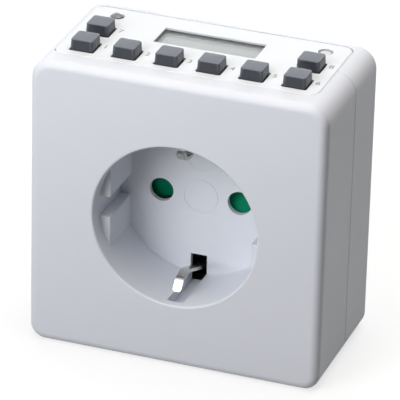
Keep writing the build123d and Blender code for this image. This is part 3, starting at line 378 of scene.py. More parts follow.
# Finishes
def shade(colour: Colour, share: float) -> Colour:
    """A colour made darker, or lighter with a share above 1."""
    return tuple(min(1.0, part * share) for part in colour)


@dataclass(frozen=True)
class Finish:
    """A material of one of the timer's pieces.

    Attributes:
        name: the material's name.
        colour: its main colour, linear.
        roughness: its mean roughness.
    """

    name: str
    colour: Colour
    roughness: float = 0.4

    def material(self) -> bpy.types.Material:
        """The finish's material, which the first call builds.

        Returns:
            The material.
        """
        found = bpy.data.materials.get(self.name)
        if found:
            return found
        material = bpy.data.materials.new(self.name)
        material.use_nodes = True
        material.diffuse_color = (*self.colour, 1.0)
        tree = Tree(material.node_tree)
        shader = tree.add("ShaderNodeBsdfPrincipled")
        tree.add("ShaderNodeOutputMaterial", {"Surface": shader.outputs["BSDF"]})
        tree.feed(shader, self.dress(tree))
        return material

    def dress(self, tree: Tree) -> Feeds:
        """Adds the nodes that feed the shader."""
        raise NotImplementedError

    def tint(self, tree: Tree, mask: Socket, under: Socket | Colour, over: Colour,
             share: float = 1.0) -> Socket:
        """Lays a colour over another one.

        Args:
            tree: the material's nodes.
            mask: where the upper colour shows.
            under: the lower colour.
            over: the upper colour.
            share: how much of the upper colour a full mask gives.

        Returns:
            The socket of the mixed colour.
        """
        feeds = {"Factor": tree.math("MULTIPLY", mask, share), MIX_OVER: (*over, 1.0),
                 MIX_UNDER: (*under, 1.0) if isinstance(under, tuple) else under}
        return tree.add("ShaderNodeMix", feeds, data_type="RGBA").outputs[MIX_RESULT]

    def bump(self, tree: Tree, height: Socket, depth_mm: float, strength: float) -> Socket:
        """Adds a bump.

        Args:
            tree: the material's nodes.
            height: the height, from 0 to 1.
            depth_mm: how deep a height of 1 is.
            strength: the bump's strength.

        Returns:
            The socket of the bumped normal.
        """
        feeds = {"Strength": strength, "Distance": depth_mm * MM, "Height": height}
        return tree.add("ShaderNodeBump", feeds).outputs["Normal"]


@dataclass(frozen=True)
class MouldedPlastic(Finish):
    """Opaque moulded plastic.

    Attributes:
        grain: how fine the mould's grain is.
        grain_mm: how deep it is.
        grain_strength: how strong its bump is.
        mottle: how much darker the flow marks are.
        dust: how much dust and handling shows.
        dust_colour: the dust's colour.
        dust_share: how far full dust covers the plastic.
        smudge: the share of its roughness that handling leaves.
        touched: painted sheen, a paler colour laid on faces that look up, if it has any.
        polish: how strong the painted highlight on its raised edges is.
        polish_shade: how many times lighter a full painted edge highlight makes its colour.
        coat: how strong its gloss layer is.
        coat_roughness: how rough that layer is.
        gloss: how strongly it reflects, where 0.5 is a plain plastic.
        ior: its index of refraction.
    """

    grain: float = 3500.0
    grain_mm: float = 0.01
    grain_strength: float = 0.5
    mottle: float = 0.04
    dust: float = 0.4
    dust_colour: Colour = (0.62, 0.6, 0.57)
    dust_share: float = 0.12
    smudge: float = 0.82
    touched: Colour | None = None
    polish: float = 0.0
    polish_shade: float = 4.0
    coat: float = 0.0
    coat_roughness: float = 0.12
    gloss: float = 0.5
    ior: float = 1.5

    def dress(self, tree: Tree) -> Feeds:
        """Adds grain, flow marks, dust, painted sheen on tops and painted highlights on edges.

        Args:
            tree: the material's nodes.

        Returns:
            What the shader's inputs get.
        """
        grain = MouldGrain.place(tree, Grain=self.grain)
        dust = Dust.place(tree, Amount=self.dust)
        colour = self.tint(tree, grain["Flow Mask"], self.colour, shade(self.colour, 1.0 - self.mottle))
        colour = self.tint(tree, dust["Dust Mask"], colour, self.dust_colour, self.dust_share)
        # Painted sheen: faces that look up get a paler colour, standing in for the light that the tops
        # catch.
        if self.touched:
            colour = self.tint(tree, dust["Top Sheen Mask"], colour, self.touched)
        # Painted highlight: raised edges get a lighter colour, broken into spots.
        if self.polish:
            edge = EdgePolish.place(tree, Amount=self.polish)
            colour = self.tint(tree, edge["Edge Mask"], colour, shade(self.colour, self.polish_shade))
        rubbed = self.roughness * self.smudge
        feeds = {
            "Base Color": colour,
            "Roughness": tree.span(dust["Smudge Mask"], into=(self.roughness, rubbed)),
            "IOR": self.ior,
            "Specular IOR Level": self.gloss,
            "Normal": self.bump(tree, grain["Height"], self.grain_mm, self.grain_strength),
        }
        if self.coat:
            feeds |= {"Coat Weight": self.coat, "Coat Roughness": self.coat_roughness}
        return feeds


@dataclass(frozen=True)
class SheetMetal(Finish):
    """Stamped, turned or drawn metal.

    Attributes:
        streak: the way its lines run.
        lines: how fine they are.
        line_shade: how dark they are.
        line_mm: how deep they are.
        line_strength: how strong their bump is.
        stain: the colour of its stains.
        stain_share: how far a full stain covers the metal.
        smooth: the share of its roughness between the lines.
        rough: the share of its roughness on the lines.
    """

    streak: Streak = Streak.ALONG_Y
    lines: float = 2600.0
    line_shade: float = 0.86
    line_mm: float = 0.006
    line_strength: float = 0.4
    stain: Colour = (0.3, 0.27, 0.2)
    stain_share: float = 0.16
    smooth: float = 0.8
    rough: float = 1.25

    def dress(self, tree: Tree) -> Feeds:
        """Adds rolling lines and stains.

        Args:
            tree: the material's nodes.

        Returns:
            What the shader's inputs get.
        """
        sheet = RolledSheet.place(tree, Direction=self.streak.value, Lines=self.lines)
        lines = sheet["Line Mask"]
        colour = self.tint(tree, lines, self.colour, shade(self.colour, self.line_shade))
        colour = self.tint(tree, sheet["Stain Mask"], colour, self.stain, self.stain_share)
        limits = (self.roughness * self.smooth, self.roughness * self.rough)
        return {
            "Base Color": colour,
            "Metallic": 1.0,
            "Roughness": tree.span(lines, into=limits),
            "Normal": self.bump(tree, sheet["Height"], self.line_mm, self.line_strength),
        }


@dataclass(frozen=True)
class ClearPlastic(Finish):
    """Clear or tinted plastic, glass or resin.

    Attributes:
        through: how much light goes through.
        shadow: how much of its shadow stays.
        ior: its index of refraction.
        dust: how much handling shows.
        haze_shade: how dark a full smudge is.
        haze_roughness: how much roughness it adds.
    """

    through: float = 1.0
    shadow: float = 0.15
    ior: float = 1.49
    dust: float = 0.5
    haze_shade: float = 0.96
    haze_roughness: float = 0.05

    def dress(self, tree: Tree) -> Feeds:
        """Adds fine haze, and lets light rays pass.

        Args:
            tree: the material's nodes.

        Returns:
            What the shader's inputs get.
        """
        haze = Dust.place(tree, Amount=self.dust)["Smudge Mask"]
        ray = tree.add("ShaderNodeLightPath").outputs["Is Shadow Ray"]
        return {
            "Base Color": self.tint(tree, haze, self.colour, shade(self.colour, self.haze_shade)),
            "Roughness": tree.span(haze, into=(self.roughness, self.roughness + self.haze_roughness)),
            "Transmission Weight": self.through,
            "IOR": self.ior,
            "Alpha": tree.span(ray, into=(1.0, self.shadow)),
        }


@dataclass(frozen=True)
class DisplayGlass(Finish):
    """The blank reflective display: a grey-green field behind glass, a little uneven.

    Attributes:
        lines: how fine the reflector's brushed lines are.
        line_shade: how dark they are.
        line_share: how far a full line covers the field.
        line_roughness: how much roughness they add.
        line_mm: how deep they are.
        line_strength: how strong their bump is.
        drift: how often the field's tone changes in a metre.
        drift_shade: how dark it gets.
    """

    lines: float = 5200.0
    line_shade: float = 0.9
    line_share: float = 0.3
    line_roughness: float = 0.1
    line_mm: float = 0.004
    line_strength: float = 0.3
    drift: float = 42.0
    drift_shade: float = 0.93

    def dress(self, tree: Tree) -> Feeds:
        """Adds the brushed reflector's grain and a slow change of tone.

        Args:
            tree: the material's nodes.

        Returns:
            What the shader's inputs get.
        """
        sheet = RolledSheet.place(tree, Direction=Streak.ALONG_X.value, Lines=self.lines)
        lines = sheet["Line Mask"]
        drift = tree.noise(tree.object_place(), self.drift, detail=2.0, roughness=0.5)
        colour = self.tint(tree, tree.span(drift, between=(0.35, 0.65)), self.colour,
                           shade(self.colour, self.drift_shade))
        colour = self.tint(tree, lines, colour, shade(self.colour, self.line_shade), self.line_share)
        return {
            "Base Color": colour,
            "Roughness": tree.span(lines, into=(self.roughness, self.roughness + self.line_roughness)),
            "Normal": self.bump(tree, sheet["Height"], self.line_mm, self.line_strength),
        }


@dataclass(frozen=True)
class BoardResist(Finish):
    """Green solder resist over etched copper, with tinned pads.

    Attributes:
        tracks: how often the tracks repeat in a metre.
        track_offset: how far each row of tracks is shifted.
        track_gap: how wide the gaps between tracks are.
        track_shade: how much lighter the resist is over copper.
        pads: how often the pads repeat in a metre.
        pad_scatter: how far they leave their grid.
        pad_rim: where a pad starts to end, and where it has ended.
        tin: the colour of the tin.
        tin_metal: how metallic it is.
        tin_roughness: how rough it is.
        relief_mm: how high tracks and pads stand.
        relief_strength: how strong their bump is.
    """

    tracks: float = 260.0
    track_offset: float = 0.5
    track_gap: float = 0.09
    track_shade: float = 1.7
    pads: float = 390.0
    pad_scatter: float = 0.25
    pad_rim: Range = (0.16, 0.2)
    tin: Colour = (0.66, 0.65, 0.62)
    tin_metal: float = 0.8
    tin_roughness: float = 0.3
    relief_mm: float = 0.04
    relief_strength: float = 0.5

    def dress(self, tree: Tree) -> Feeds:
        """Adds the tracks under the resist and rows of tinned pads.

        Args:
            tree: the material's nodes.

        Returns:
            What the shader's inputs get.
        """
        place = tree.object_place()
        bricks = tree.add("ShaderNodeTexBrick", {
            "Vector": place, "Scale": self.tracks, "Mortar Size": self.track_gap,
            "Color1": WHITE, "Color2": WHITE, "Mortar": BLACK}, offset=self.track_offset)
        cells = tree.add("ShaderNodeTexVoronoi", {
            "Vector": place, "Scale": self.pads, "Randomness": self.pad_scatter}, feature="F1")
        copper = bricks.outputs["Color"]
        tin = tree.span(cells.outputs["Distance"], between=self.pad_rim, into=(1.0, 0.0))
        colour = self.tint(tree, copper, self.colour, shade(self.colour, self.track_shade))
        relief = tree.math("ADD", copper, tin)
        return {
            "Base Color": self.tint(tree, tin, colour, self.tin),
            "Metallic": tree.math("MULTIPLY", tin, self.tin_metal),
            "Roughness": tree.span(tin, into=(self.roughness, self.tin_roughness)),
            "Normal": self.bump(tree, relief, self.relief_mm, self.relief_strength),
        }


class Palette:
    """Every finish of the timer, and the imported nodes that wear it."""

    white = MouldedPlastic("casing_white", (0.785, 0.803, 0.858), 0.46, dust=0.5, mottle=0.015, gloss=0.25)
    panel_white = MouldedPlastic("panel_white", (0.835, 0.86, 0.895), 0.5, grain=5200.0,
                                 grain_mm=0.014, dust=0.4, mottle=0.012, gloss=0.3)
    # The keys get painted sheen on their tops and painted highlights on their edges.
    key = MouldedPlastic("key_grey", (0.05, 0.055, 0.064), 0.24, grain=6500.0, dust=0.35,
                         mottle=0.08, polish=0.8, gloss=0.2, touched=(0.175, 0.19, 0.225))
    reset = MouldedPlastic("reset_grey", (0.19, 0.195, 0.21), 0.34, grain=6500.0, dust=0.3,
                           mottle=0.06, coat=0.1)
    # Painted shade: the lens's darker rim stands in for the shadow that its opening's wall casts.
    lens_rim = ClearPlastic("lens_rim_painted_shade", (0.42, 0.43, 0.44), 0.28, through=0.2, shadow=0.5)
    lens_face = ClearPlastic("lens_frost", (0.9, 0.91, 0.92), 0.3, through=0.25, shadow=0.5)
    shutter = MouldedPlastic("shutter_green", (0.0, 0.23, 0.115), 0.55, dust=0.05, mottle=0.1, gloss=0.06)
    insulator = MouldedPlastic("carrier_ivory", (0.78, 0.76, 0.68), 0.48, dust=0.2, mottle=0.06)
    black = MouldedPlastic("black_moulding", (0.012, 0.012, 0.014), 0.38, grain=5200.0, dust=0.5)
    film_case = MouldedPlastic("film_case_amber", (0.62, 0.36, 0.02), 0.24, dust=0.3, coat=0.4)
    can_sleeve = MouldedPlastic("can_sleeve_blue", (0.012, 0.016, 0.045), 0.22, dust=0.3, coat=0.5)
    resistor = MouldedPlastic("resistor_lacquer", (0.52, 0.38, 0.2), 0.36, mottle=0.16, coat=0.3)
    jacket = MouldedPlastic("ribbon_jacket", (0.4, 0.4, 0.42), 0.46, mottle=0.06)
    board = BoardResist("board_resist", (0.008, 0.11, 0.035), 0.32)
    silicone = MouldedPlastic("keypad_silicone", (0.42, 0.43, 0.44), 0.62, grain=2600.0, mottle=0.08)
    window = ClearPlastic("window_clear", (0.96, 0.975, 0.97), 0.035)
    display = DisplayGlass("display_field", (0.36, 0.39, 0.405), 0.5)
    led_resin = ClearPlastic("lamp_resin", (0.75, 0.3, 0.25), 0.12, through=0.8, shadow=0.4)
    fuse_glass = ClearPlastic("fuse_glass", (0.9, 0.93, 0.91), 0.03)
    nickel = SheetMetal("nickel_plate", (0.6, 0.59, 0.56), 0.24)
    brass = SheetMetal("rolled_brass", (0.80, 0.60, 0.27), 0.28, stain=(0.35, 0.17, 0.05))
    steel = SheetMetal("zinc_steel", (0.60, 0.61, 0.63), 0.33, streak=Streak.ALONG_Z)
    ink = MouldedPlastic("numeral_ink", (0.17, 0.175, 0.19), 0.5, dust=0.2, mottle=0.1)

    worn: ClassVar[dict[Finish, tuple[str, ...]]] = {
        white: ("front_shell", "rear_shell", "plug_body"),
        panel_white: ("control_panel",),
        reset: ("reset_button",),
        shutter: ("shutter",),
        insulator: ("contact_carrier",),
        black: ("lcd_frame", "controller_chip", "relay", "zebra_strips"),
        film_case: ("film_capacitor",),
        can_sleeve: ("smoothing_capacitor",),
        resistor: ("resistors",),
        jacket: ("ribbon_cable",),
        board: ("control_board", "mains_board"),
        silicone: ("keypad_mat",),
        display: ("lcd_glass",),
        led_resin: ("indicator_led",),
        fuse_glass: ("fuse",),
        nickel: ("earth_clip", "plug_pin_left", "plug_pin_right", "plug_earth_top",
                 "plug_earth_bottom"),
        brass: ("contact_left", "contact_right", "neutral_busbar", "live_busbar",
                "switched_busbar", "earth_strap", "earth_rivets"),
        steel: ("casing_screws", "board_screws", "shutter_spring", "crystal", "backup_cell"),
    }

    @classmethod
    def dress_frame(cls, nodes: dict[str, bpy.types.Object]) -> None:
        """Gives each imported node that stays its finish.

        Args:
            nodes: the frame's objects by node name.
        """
        for finish, names in cls.worn.items():
            for name in names:
                dress(nodes[name], finish)
                LOG.info("%s wears %s", name, finish.name)


def dress(thing: bpy.types.Object, finish: Finish) -> None:
    """Puts a finish on every material slot of an object.

    Args:
        thing: the object.
        finish: its finish.
    """
    if not thing.material_slots:
        thing.data.materials.append(finish.material())
    for place in thing.material_slots:
        place.material = finish.material()


# Meshes
def add_object(name: str, data: bpy.types.ID) -> bpy.types.Object:
    """Adds an object to the scene.

    Args:
        name: the object's name.
        data: its mesh, text, camera or light.

    Returns:
        The new object.
    """
    thing = bpy.data.objects.new(name, data)
    bpy.context.scene.collection.objects.link(thing)
    return thing


def new_piece(name: str, mesh: bmesh.types.BMesh) -> bpy.types.Object:
    """Turns a bmesh into an object of the scene.

    Args:
        name: the piece's name.
        mesh: its mesh, which is freed.

    Returns:
        The new object.
    """
    data = bpy.data.meshes.new(name)
    mesh.to_mesh(data)
    mesh.free()
    return add_object(name, data)


def square_ring(half: float, corner: float, z: float, points: int) -> Ring:
    """A level ring on a square with round corners, about the Z axis.

    Args:
        half: half the square's side.
        corner: the radius of its corners.
        z: the ring's level.
        points: how many points it has, a multiple of 8.

    Returns:
        The ring's points.
    """
    ring = []
    straight = half - corner
    quarter = points // 4
    for turn in range(4):
        spin = Matrix.Rotation(turn * math.pi / 2, 4, "Z")
        for step in range(quarter):
            angle = -math.pi / 4 + (step / quarter) * math.pi / 2
            if abs(angle) > math.atan2(straight, half):
                side = math.copysign(1.0, angle)
                centre = Vector((straight, side * straight, 0.0))
                ray = Vector((math.cos(angle), math.sin(angle), 0.0))
                along = ray.dot(centre)
                gap = centre.length_squared - along * along
                reach = ray * (along + math.sqrt(max(0.0, corner * corner - gap)))
                reach.z = z
            else:
                reach = Vector((half, half * math.tan(angle), z))
            ring.append(spin @ reach)
    return ring


def round_ring(radius: float, z: float, points: int) -> Ring:
    """A level circle about the Z axis, in step with square_ring.

    Args:
        radius: the circle's radius.
        z: its level.
        points: how many points it has.

    Returns:
        The circle's points.
    """
    start = -math.pi / 4
    angles = [start + 2 * math.pi * step / points for step in range(points)]
    return [Vector((radius * math.cos(angle), radius * math.sin(angle), z)) for angle in angles]


def skin(rings: Sequence[Ring]) -> bmesh.types.BMesh:
    """The skin of a solid through rings of equal count. Its last two faces close its ends.

    Args:
        rings: its rings from one end to the other, in metres.

    Returns:
        The closed mesh.
    """
    mesh = bmesh.new()
    rows = [[mesh.verts.new(point) for point in ring] for ring in rings]
    count = len(rows[0])
    for low, high in zip(rows, rows[1:]):
        for index in range(count):
            after = (index + 1) % count
            mesh.faces.new((low[index], low[after], high[after], high[index]))
    for row in (rows[0], rows[-1]):
        mesh.faces.new(row)
    bmesh.ops.recalc_face_normals(mesh, faces=mesh.faces)
    return mesh


def loft(name: str, rings: Sequence[Ring], place: Vector) -> bpy.types.Object:
    """A smooth closed solid through rings.

    Args:
        name: the piece's name.
        rings: its rings from one end to the other, about the Z axis.
        place: where its origin goes.

    Returns:
        The new object.
    """
    mesh = skin(rings)
    bmesh.ops.translate(mesh, verts=mesh.verts, vec=place)
    for face in mesh.faces:
        face.smooth = True
    return new_piece(name, mesh)


# The timer's own moulded and printed pieces
@dataclass
class KeyCaps:
    """The eight moulded keys, each one solid with its flange and stem.

    Attributes:
        stem: the stem's radius.
        flange: the flange's side.
        flange_corner: the radius of its corners.
        flange_low: how far above the stem's foot the flange starts.
        flange_high: how far above the stem's foot it ends.
        foot: the cap's side where it leaves the flange.
        draft: how much narrower the cap is at its shoulder than at its foot, on each side.
        corner: the radius of the cap's upright corners.
        shoulder: the radius that rounds its top edge.
        crown: how far its top swells.
        edge: how close to a sharp edge the next ring runs, so that it shades crisply.
        sides: where the rings of the drafted sides are, from the foot to the shoulder.
        swells: where the rings of the crown are, as shares of its flat part.
        steps: the rings that round the top edge.
        points: the points of each ring.
    """

    stem: float = 1.4 * MM
    flange: float = 7.0 * MM
    flange_corner: float = 0.4 * MM
    flange_low: float = 0.95 * MM
    flange_high: float = 2.0 * MM
    foot: float = 5.6 * MM
    draft: float = 0.2 * MM
    corner: float = 0.5 * MM
    shoulder: float = 0.26 * MM
    crown: float = 0.07 * MM
    edge: float = 0.05 * MM
    sides: tuple[float, ...] = (0.5, 1.0)
    swells: tuple[float, ...] = (0.85, 0.65, 0.45, 0.25)
    steps: int = 6
    points: int = 64

    def rings(self, low: float, high: float) -> list[Ring]:
        """The rings of one key, about its own axis.

        Args:
            low: the stem's lowest level.
            high: the cap's highest level.

        Returns:
            The rings from the stem's foot to the crown.
        """
        half = self.foot / 2
        wide = self.flange / 2
        under = low + self.flange_low
        upper = low + self.flange_high
        rings = [round_ring(self.stem, level, self.points) for level in (low, under - self.edge, under)]
        for level in (under, under + self.edge, upper - self.edge, upper):
            rings.append(square_ring(wide, self.flange_corner, level, self.points))
        rings.append(square_ring(half + self.edge, self.corner, upper, self.points))
        rings.append(square_ring(half, self.corner, upper + self.edge, self.points))
        round_start = high - self.crown - self.shoulder
        narrow = half - self.draft
        for share in self.sides:
            level = upper + (round_start - upper) * share
            rings.append(square_ring(half - self.draft * share, self.corner, level, self.points))
        for step in range(1, self.steps + 1):
            angle = step / self.steps * math.pi / 2
            inset = self.shoulder * (1 - math.cos(angle))
            level = round_start + self.shoulder * math.sin(angle)
            rings.append(square_ring(narrow - inset, self.corner, level, self.points))
        flat = narrow - self.shoulder
        for share in self.swells:
            level = high - self.crown * share * share
            corner = self.corner + (flat - self.corner) * (1 - share)
            rings.append(square_ring(flat * share, corner * share, level, self.points))
        return rings

    def build(self) -> None:
        """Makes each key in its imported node's place."""
        for number in range(1, KEY_COUNT + 1):
            node = f"key_{number}"
            low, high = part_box(node)
            middle = (low + high) / 2
            key = loft(f"cap_{number}", self.rings(low.z, high.z), Vector((middle.x, middle.y, 0.0)))
            dress(key, Palette.key)
            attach(key, node)
            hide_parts(node)
            LOG.info("%s stands for %s", key.name, node)


@dataclass
class Numerals:
    """The small plain numerals printed beside the keys.

    Attributes:
        height: the height of a numeral.
        height_share: a numeral's height as a share of the text size.
        film: how thick the ink is.
        right: how far right of its key's middle a numeral stands.
        back: how far behind it.
        resolution: how finely its curves are divided.
    """

    height: float = 1.7 * MM
    height_share: float = 0.7
    film: float = 0.02 * MM
    right: float = 4.3 * MM
    back: float = 1.6 * MM
    resolution: int = 6

    def print_mesh(self, number: int) -> bpy.types.Mesh:
        """The mesh of one numeral, flat and about the origin.

        Args:
            number: the number that it shows.

        Returns:
            The new mesh.
        """
        text = bpy.data.curves.new(f"numeral_text_{number}", "FONT")
        text.body = str(number)
        text.size = self.height / self.height_share
        text.align_x = "CENTER"
        text.align_y = "CENTER"
        text.extrude = self.film / 2
        text.resolution_u = self.resolution
        maker = add_object(f"numeral_maker_{number}", text)
        bpy.context.view_layer.update()
        mesh = bpy.data.meshes.new_from_object(maker)
        bpy.data.objects.remove(maker)
        return mesh

    def build(self) -> None:
        """Prints one numeral for each key on the panel."""
        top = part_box("control_panel")[1].z
        for number in range(1, KEY_COUNT + 1):
            low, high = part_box(f"key_{number}")
            middle = (low + high) / 2
            mesh = self.print_mesh(number)
            mesh.transform(Matrix.Translation((middle.x + self.right, middle.y + self.back, top)))
            numeral = add_object(f"numeral_{number}", mesh)
            dress(numeral, Palette.ink)
            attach(numeral, Body.CASING.value)
            LOG.info("%s is printed beside key_%d", numeral.name, number)


@dataclass
class DisplayWindow:
    """The clear window over the display, with a dark print on its edges and its flange.

    Attributes:
        flange: how far the flange reaches past the plug that fills the opening.
        flange_height: how thick the flange is.
        print_width: how wide the dark print is on the underside.
        bevel: the size of the bevel round its face.
        corner: the radius of the plug's corners.
        points: the points of each corner.
    """

    flange: float = 1.4 * MM
    flange_height: float = 1.0 * MM
    print_width: float = 0.5 * MM
    bevel: float = 0.06 * MM
    corner: float = 0.25 * MM
    points: int = 6

    def ring(self, inset: float, level: float) -> Ring:
        """A level ring inside the node's outline.

        Args:
            inset: how far inside the outline it runs.
            level: its height.

        Returns:
            The ring's points, from the right and round by the back.
        """
        low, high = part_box("lcd_window")
        middle = (low + high) / 2
        half = (high - low) / 2
        ring = []
        for turn, (side, depth) in enumerate(((1, 1), (-1, 1), (-1, -1), (1, -1))):
            x = middle.x + side * (half.x - inset - self.corner)
            y = middle.y + depth * (half.y - inset - self.corner)
            for step in range(self.points + 1):
                angle = (turn + step / self.points) * math.pi / 2
                across = self.corner * math.cos(angle)
                ring.append(Vector((x + across, y + self.corner * math.sin(angle), level)))
        return ring

    def build(self) -> None:
        """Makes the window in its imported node's place."""
        low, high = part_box("lcd_window")
        step = low.z + self.flange_height
        mesh = skin((
            self.ring(self.print_width, low.z),
            self.ring(0.0, low.z),
            self.ring(0.0, step),
            self.ring(self.flange, step),
            self.ring(self.flange, high.z - self.bevel),
            self.ring(self.flange + self.bevel, high.z),
        ))
        for side in mesh.faces[:-2]:
            side.material_index = 1
        window = new_piece("display_window", mesh)
        window.data.materials.append(Palette.window.material())
        window.data.materials.append(Palette.black.material())
        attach(window, Body.CASING.value)
        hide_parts("lcd_window")
        LOG.info("%s stands for lcd_window", window.name)


@dataclass
class IndicatorLens:
    """The round lens of the indicator: a rim darkened with painted shade round a pale dished face.

    Attributes:
        radius: the radius of the lens in its opening.
        flange_height: how thick the flange under the panel is.
        rim: how wide the smoky rim is.
        bevel: the size of the bevel at its edge.
        dish: how deep the face is dished.
        steps: the rings of the dish.
        points: the points of each ring.
    """

    radius: float = 1.65 * MM
    flange_height: float = 0.8 * MM
    # rim: how wide the rim darkened with painted shade is.
    rim: float = 0.45 * MM
    bevel: float = 0.1 * MM
    dish: float = 0.16 * MM
    steps: int = 6
    points: int = 64

    def rings(self, low: float, high: float, flange: float) -> list[Ring]:
        """The rings of the lens, about its own axis.

        Args:
            low: its lowest level.
            high: its highest level.
            flange: the flange's radius.

        Returns:
            The rings from the underside to the middle of the dish.
        """
        step = low + self.flange_height
        rings = [
            round_ring(flange, low, self.points),
            round_ring(flange, step, self.points),
            round_ring(self.radius, step, self.points),
            round_ring(self.radius, high - self.bevel, self.points),
            round_ring(self.radius - self.bevel, high, self.points),
        ]
        face = self.radius - self.rim
        for number in range(self.steps):
            share = 1.0 - number / self.steps
            rings.append(round_ring(face * share, high - self.dish * (1.0 - share * share), self.points))
        return rings

    def build(self) -> None:
        """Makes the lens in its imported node's place."""
        low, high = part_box("indicator_lens")
        middle = (low + high) / 2
        rings = self.rings(low.z, high.z, (high.x - low.x) / 2)
        lens = loft("lens", rings, Vector((middle.x, middle.y, 0.0)))
        lens.data.materials.append(Palette.lens_rim.material())
        lens.data.materials.append(Palette.lens_face.material())
        # The face inside the rim takes the pale material. The rest keeps the darker one, which is painted
        # shade.
        for face in lens.data.polygons:
            if (face.center - middle).xy.length < self.radius - self.rim and face.center.z > middle.z:
                face.material_index = 1
        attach(lens, Body.CASING.value)
        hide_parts("indicator_lens")
        LOG.info("%s stands for indicator_lens", lens.name)


# Camera and studio
def outward(azimuth: float, elevation: float) -> Vector:
    """The direction from the timer to something that looks or shines at it.

    Args:
        azimuth: degrees to the right of straight in front.
        elevation: degrees above level.

    Returns:
        The direction, of length 1.
    """
    turn = math.radians(azimuth)
    rise = math.radians(elevation)
    return Vector((math.sin(turn) * math.cos(rise), -math.cos(turn) * math.cos(rise), math.sin(rise)))


@dataclass
class Camera:
    """The photograph's viewpoint, by angles about a point on the timer.

    Attributes:
        azimuth: degrees to the right of straight in front.
        elevation: degrees above level.
        roll: degrees that the camera leans.
        distance: metres from the point it looks at.
        aim: the point it looks at, in metres.
        lens: its focal length in millimetres.
        sensor: its sensor's width in millimetres.
        near: how far from it the view starts, in metres.
        far: how far from it the view ends, in metres.
    """

    azimuth: float = 19.3427
    elevation: float = 26.3382
    roll: float = 1.5185
    distance: float = 0.88017
    aim: Point = (6.0396 * MM, -53.0 * MM, 8.2598 * MM)
    lens: float = 353.86
    sensor: float = 36.0
    near: float = 0.01
    far: float = 20.0

    def build(self) -> None:
        """Makes the camera and hands it to the scene."""
        turn = math.radians(self.azimuth)
        lean = math.radians(self.roll)
        look = -outward(self.azimuth, self.elevation)
        right = Vector((math.cos(turn), math.sin(turn), 0.0))
        up = right.cross(look)
        across = math.cos(lean) * right + math.sin(lean) * up
        upward = math.cos(lean) * up - math.sin(lean) * right
        place = Vector(self.aim) - look * self.distance
        data = bpy.data.cameras.new("photo_camera")
        data.sensor_width = self.sensor
        data.lens = self.lens
        data.clip_start = self.near
        data.clip_end = self.far
        camera = add_object("photo_camera", data)
        turned = Matrix((across, upward, -look)).transposed().to_4x4()
        camera.matrix_world = Matrix.Translation(place) @ turned
        bpy.context.scene.camera = camera
        LOG.info("camera %.1f degrees right and %.1f up", self.azimuth, self.elevation)


@dataclass(frozen=True)
class Softbox:
    """A square lamp that shines at the timer.

    Attributes:
        name: the lamp's name.
        azimuth: degrees to the right of straight in front.
        elevation: degrees above level.
        distance: metres from the point that it shines at.
        size: its side in metres.
        power: its power in watts.
        light: the colour of its light.
        feather: degrees that it is turned up past the timer, so that low parts get less.
    """

    name: str
    azimuth: float
    elevation: float
    distance: float
    size: float
    power: float
    light: Light = Light.PLAIN
    feather: float = 0.0

    def build(self, aim: Vector) -> None:
        """Hangs the lamp and turns it towards a point.

        Args:
            aim: the point that it shines at.
        """
        away = outward(self.azimuth, self.elevation)
        data = bpy.data.lights.new(self.name, "AREA")
        data.shape = "SQUARE"
        data.size = self.size
        data.energy = self.power
        data.color = self.light.value
        lamp = add_object(self.name, data)
        lamp.location = aim + away * self.distance
        raised = Quaternion((1.0, 0.0, 0.0), math.radians(self.feather))
        lamp.rotation_euler = (away.to_track_quat("Z", "Y") @ raised).to_euler()
        LOG.info("lamp %s of %.2f W", self.name, self.power)


LAMPS = (
    Softbox("roof_softbox", azimuth=63.0, elevation=83.0, distance=0.463, size=0.32, power=1.45,
            light=Light.WARM),
    Softbox("low_softbox", azimuth=-28.0, elevation=12.0, distance=0.5, size=0.24, power=1.17,
            light=Light.COOL, feather=55.0),
    Softbox("high_softbox", azimuth=-20.0, elevation=38.0, distance=0.48, size=0.3, power=1.33,
            light=Light.COOL, feather=55.0),
    Softbox("back_softbox", azimuth=165.0, elevation=32.0, distance=0.5, size=0.3, power=0.66,
            light=Light.BLUE),
    Softbox("back_left_softbox", azimuth=-130.0, elevation=30.0, distance=0.5, size=0.3, power=0.36,
            light=Light.BLUE),
    Softbox("rear_softbox", azimuth=-165.0, elevation=4.0, distance=0.5, size=0.14, power=0.5),
    Softbox("metal_softbox", azimuth=-26.5, elevation=49.0, distance=0.5, size=0.14, power=0.12),
)


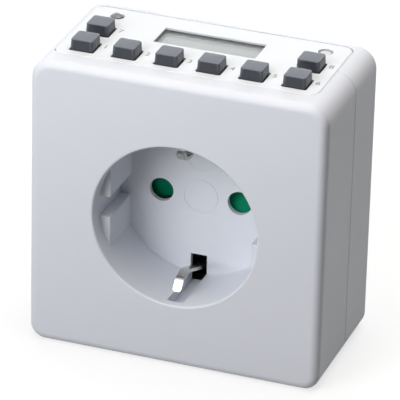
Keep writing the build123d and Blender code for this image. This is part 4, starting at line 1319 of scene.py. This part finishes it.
@dataclass
class Studio:
    """The pale floor, the white surround and the soft lamps.

    Attributes:
        floor_reach: the floor's radius.
        floor_points: the points of its edge.
        floor_colour: its colour, linear.
        floor_roughness: how rough it is.
        lift: how much white the floor adds for the camera.
        surround: how bright the surround lights the timer.
        unspread: the diffuse depth below which no dull face has spread a ray.
    """

    floor_reach: float = 6.0
    floor_points: int = 96
    floor_colour: Colour = (0.3, 0.3, 0.3)
    floor_roughness: float = 0.8
    lift: float = 0.7
    surround: float = 0.01
    unspread: float = 0.5

    def rays(self, tree: Tree) -> Socket:
        """Where the camera sees, in a mirror or through glass too, and not light that dull faces spread.

        Args:
            tree: the nodes to add to.

        Returns:
            The socket of the mask.
        """
        path = tree.add("ShaderNodeLightPath").outputs
        seen = tree.math("MAXIMUM", path["Is Camera Ray"], path["Is Glossy Ray"])
        seen = tree.math("MAXIMUM", seen, path["Is Transmission Ray"])
        return tree.math("MULTIPLY", seen, tree.math("LESS_THAN", path["Diffuse Depth"], self.unspread))

    def build_world(self) -> None:
        """Makes the surround: white where it is seen, and a plain light elsewhere."""
        world = bpy.data.worlds.new("white_surround")
        world.use_nodes = True
        bpy.context.scene.world = world
        tree = Tree(world.node_tree)
        strength = tree.span(self.rays(tree), into=(self.surround, 1.0))
        shader = tree.add("ShaderNodeBackground", {"Color": WHITE, "Strength": strength})
        tree.add("ShaderNodeOutputWorld", {"Surface": shader.outputs["Background"]})

    def build_floor(self, level: float) -> None:
        """Makes the round floor that the timer stands on.

        Args:
            level: the height of its top.
        """
        mesh = bmesh.new()
        bmesh.ops.create_circle(mesh, cap_ends=True, radius=self.floor_reach, segments=self.floor_points)
        floor = new_piece("floor", mesh)
        floor.location.z = level
        material = bpy.data.materials.new("floor_white")
        material.use_nodes = True
        tree = Tree(material.node_tree)
        shader = tree.add("ShaderNodeBsdfPrincipled", {
            "Base Color": (*self.floor_colour, 1.0),
            "Roughness": self.floor_roughness,
            "Emission Color": WHITE,
            "Emission Strength": tree.math("MULTIPLY", self.rays(tree), self.lift),
        })
        tree.add("ShaderNodeOutputMaterial", {"Surface": shader.outputs["BSDF"]})
        floor.data.materials.append(material)

    def build(self, aim: Vector, level: float) -> None:
        """Makes the whole studio.

        Args:
            aim: the point that the lamps shine at.
            level: the height of the floor.
        """
        self.build_world()
        self.build_floor(level)
        for lamp in LAMPS:
            lamp.build(aim)
        bpy.context.scene.view_settings.view_transform = "Standard"


def main() -> None:
    """Builds the pieces in order and reports each one."""
    logging.basicConfig(level=logging.INFO, format="%(message)s")
    low, high = CAD_BOX
    Camera().build()
    Studio().build((Vector(low) + Vector(high)) / 2, low[2])
    Palette.dress_frame(frame["nodes"])
    KeyCaps().build()
    Numerals().build()
    DisplayWindow().build()
    IndicatorLens().build()


if __name__ == "__main__":
    main()
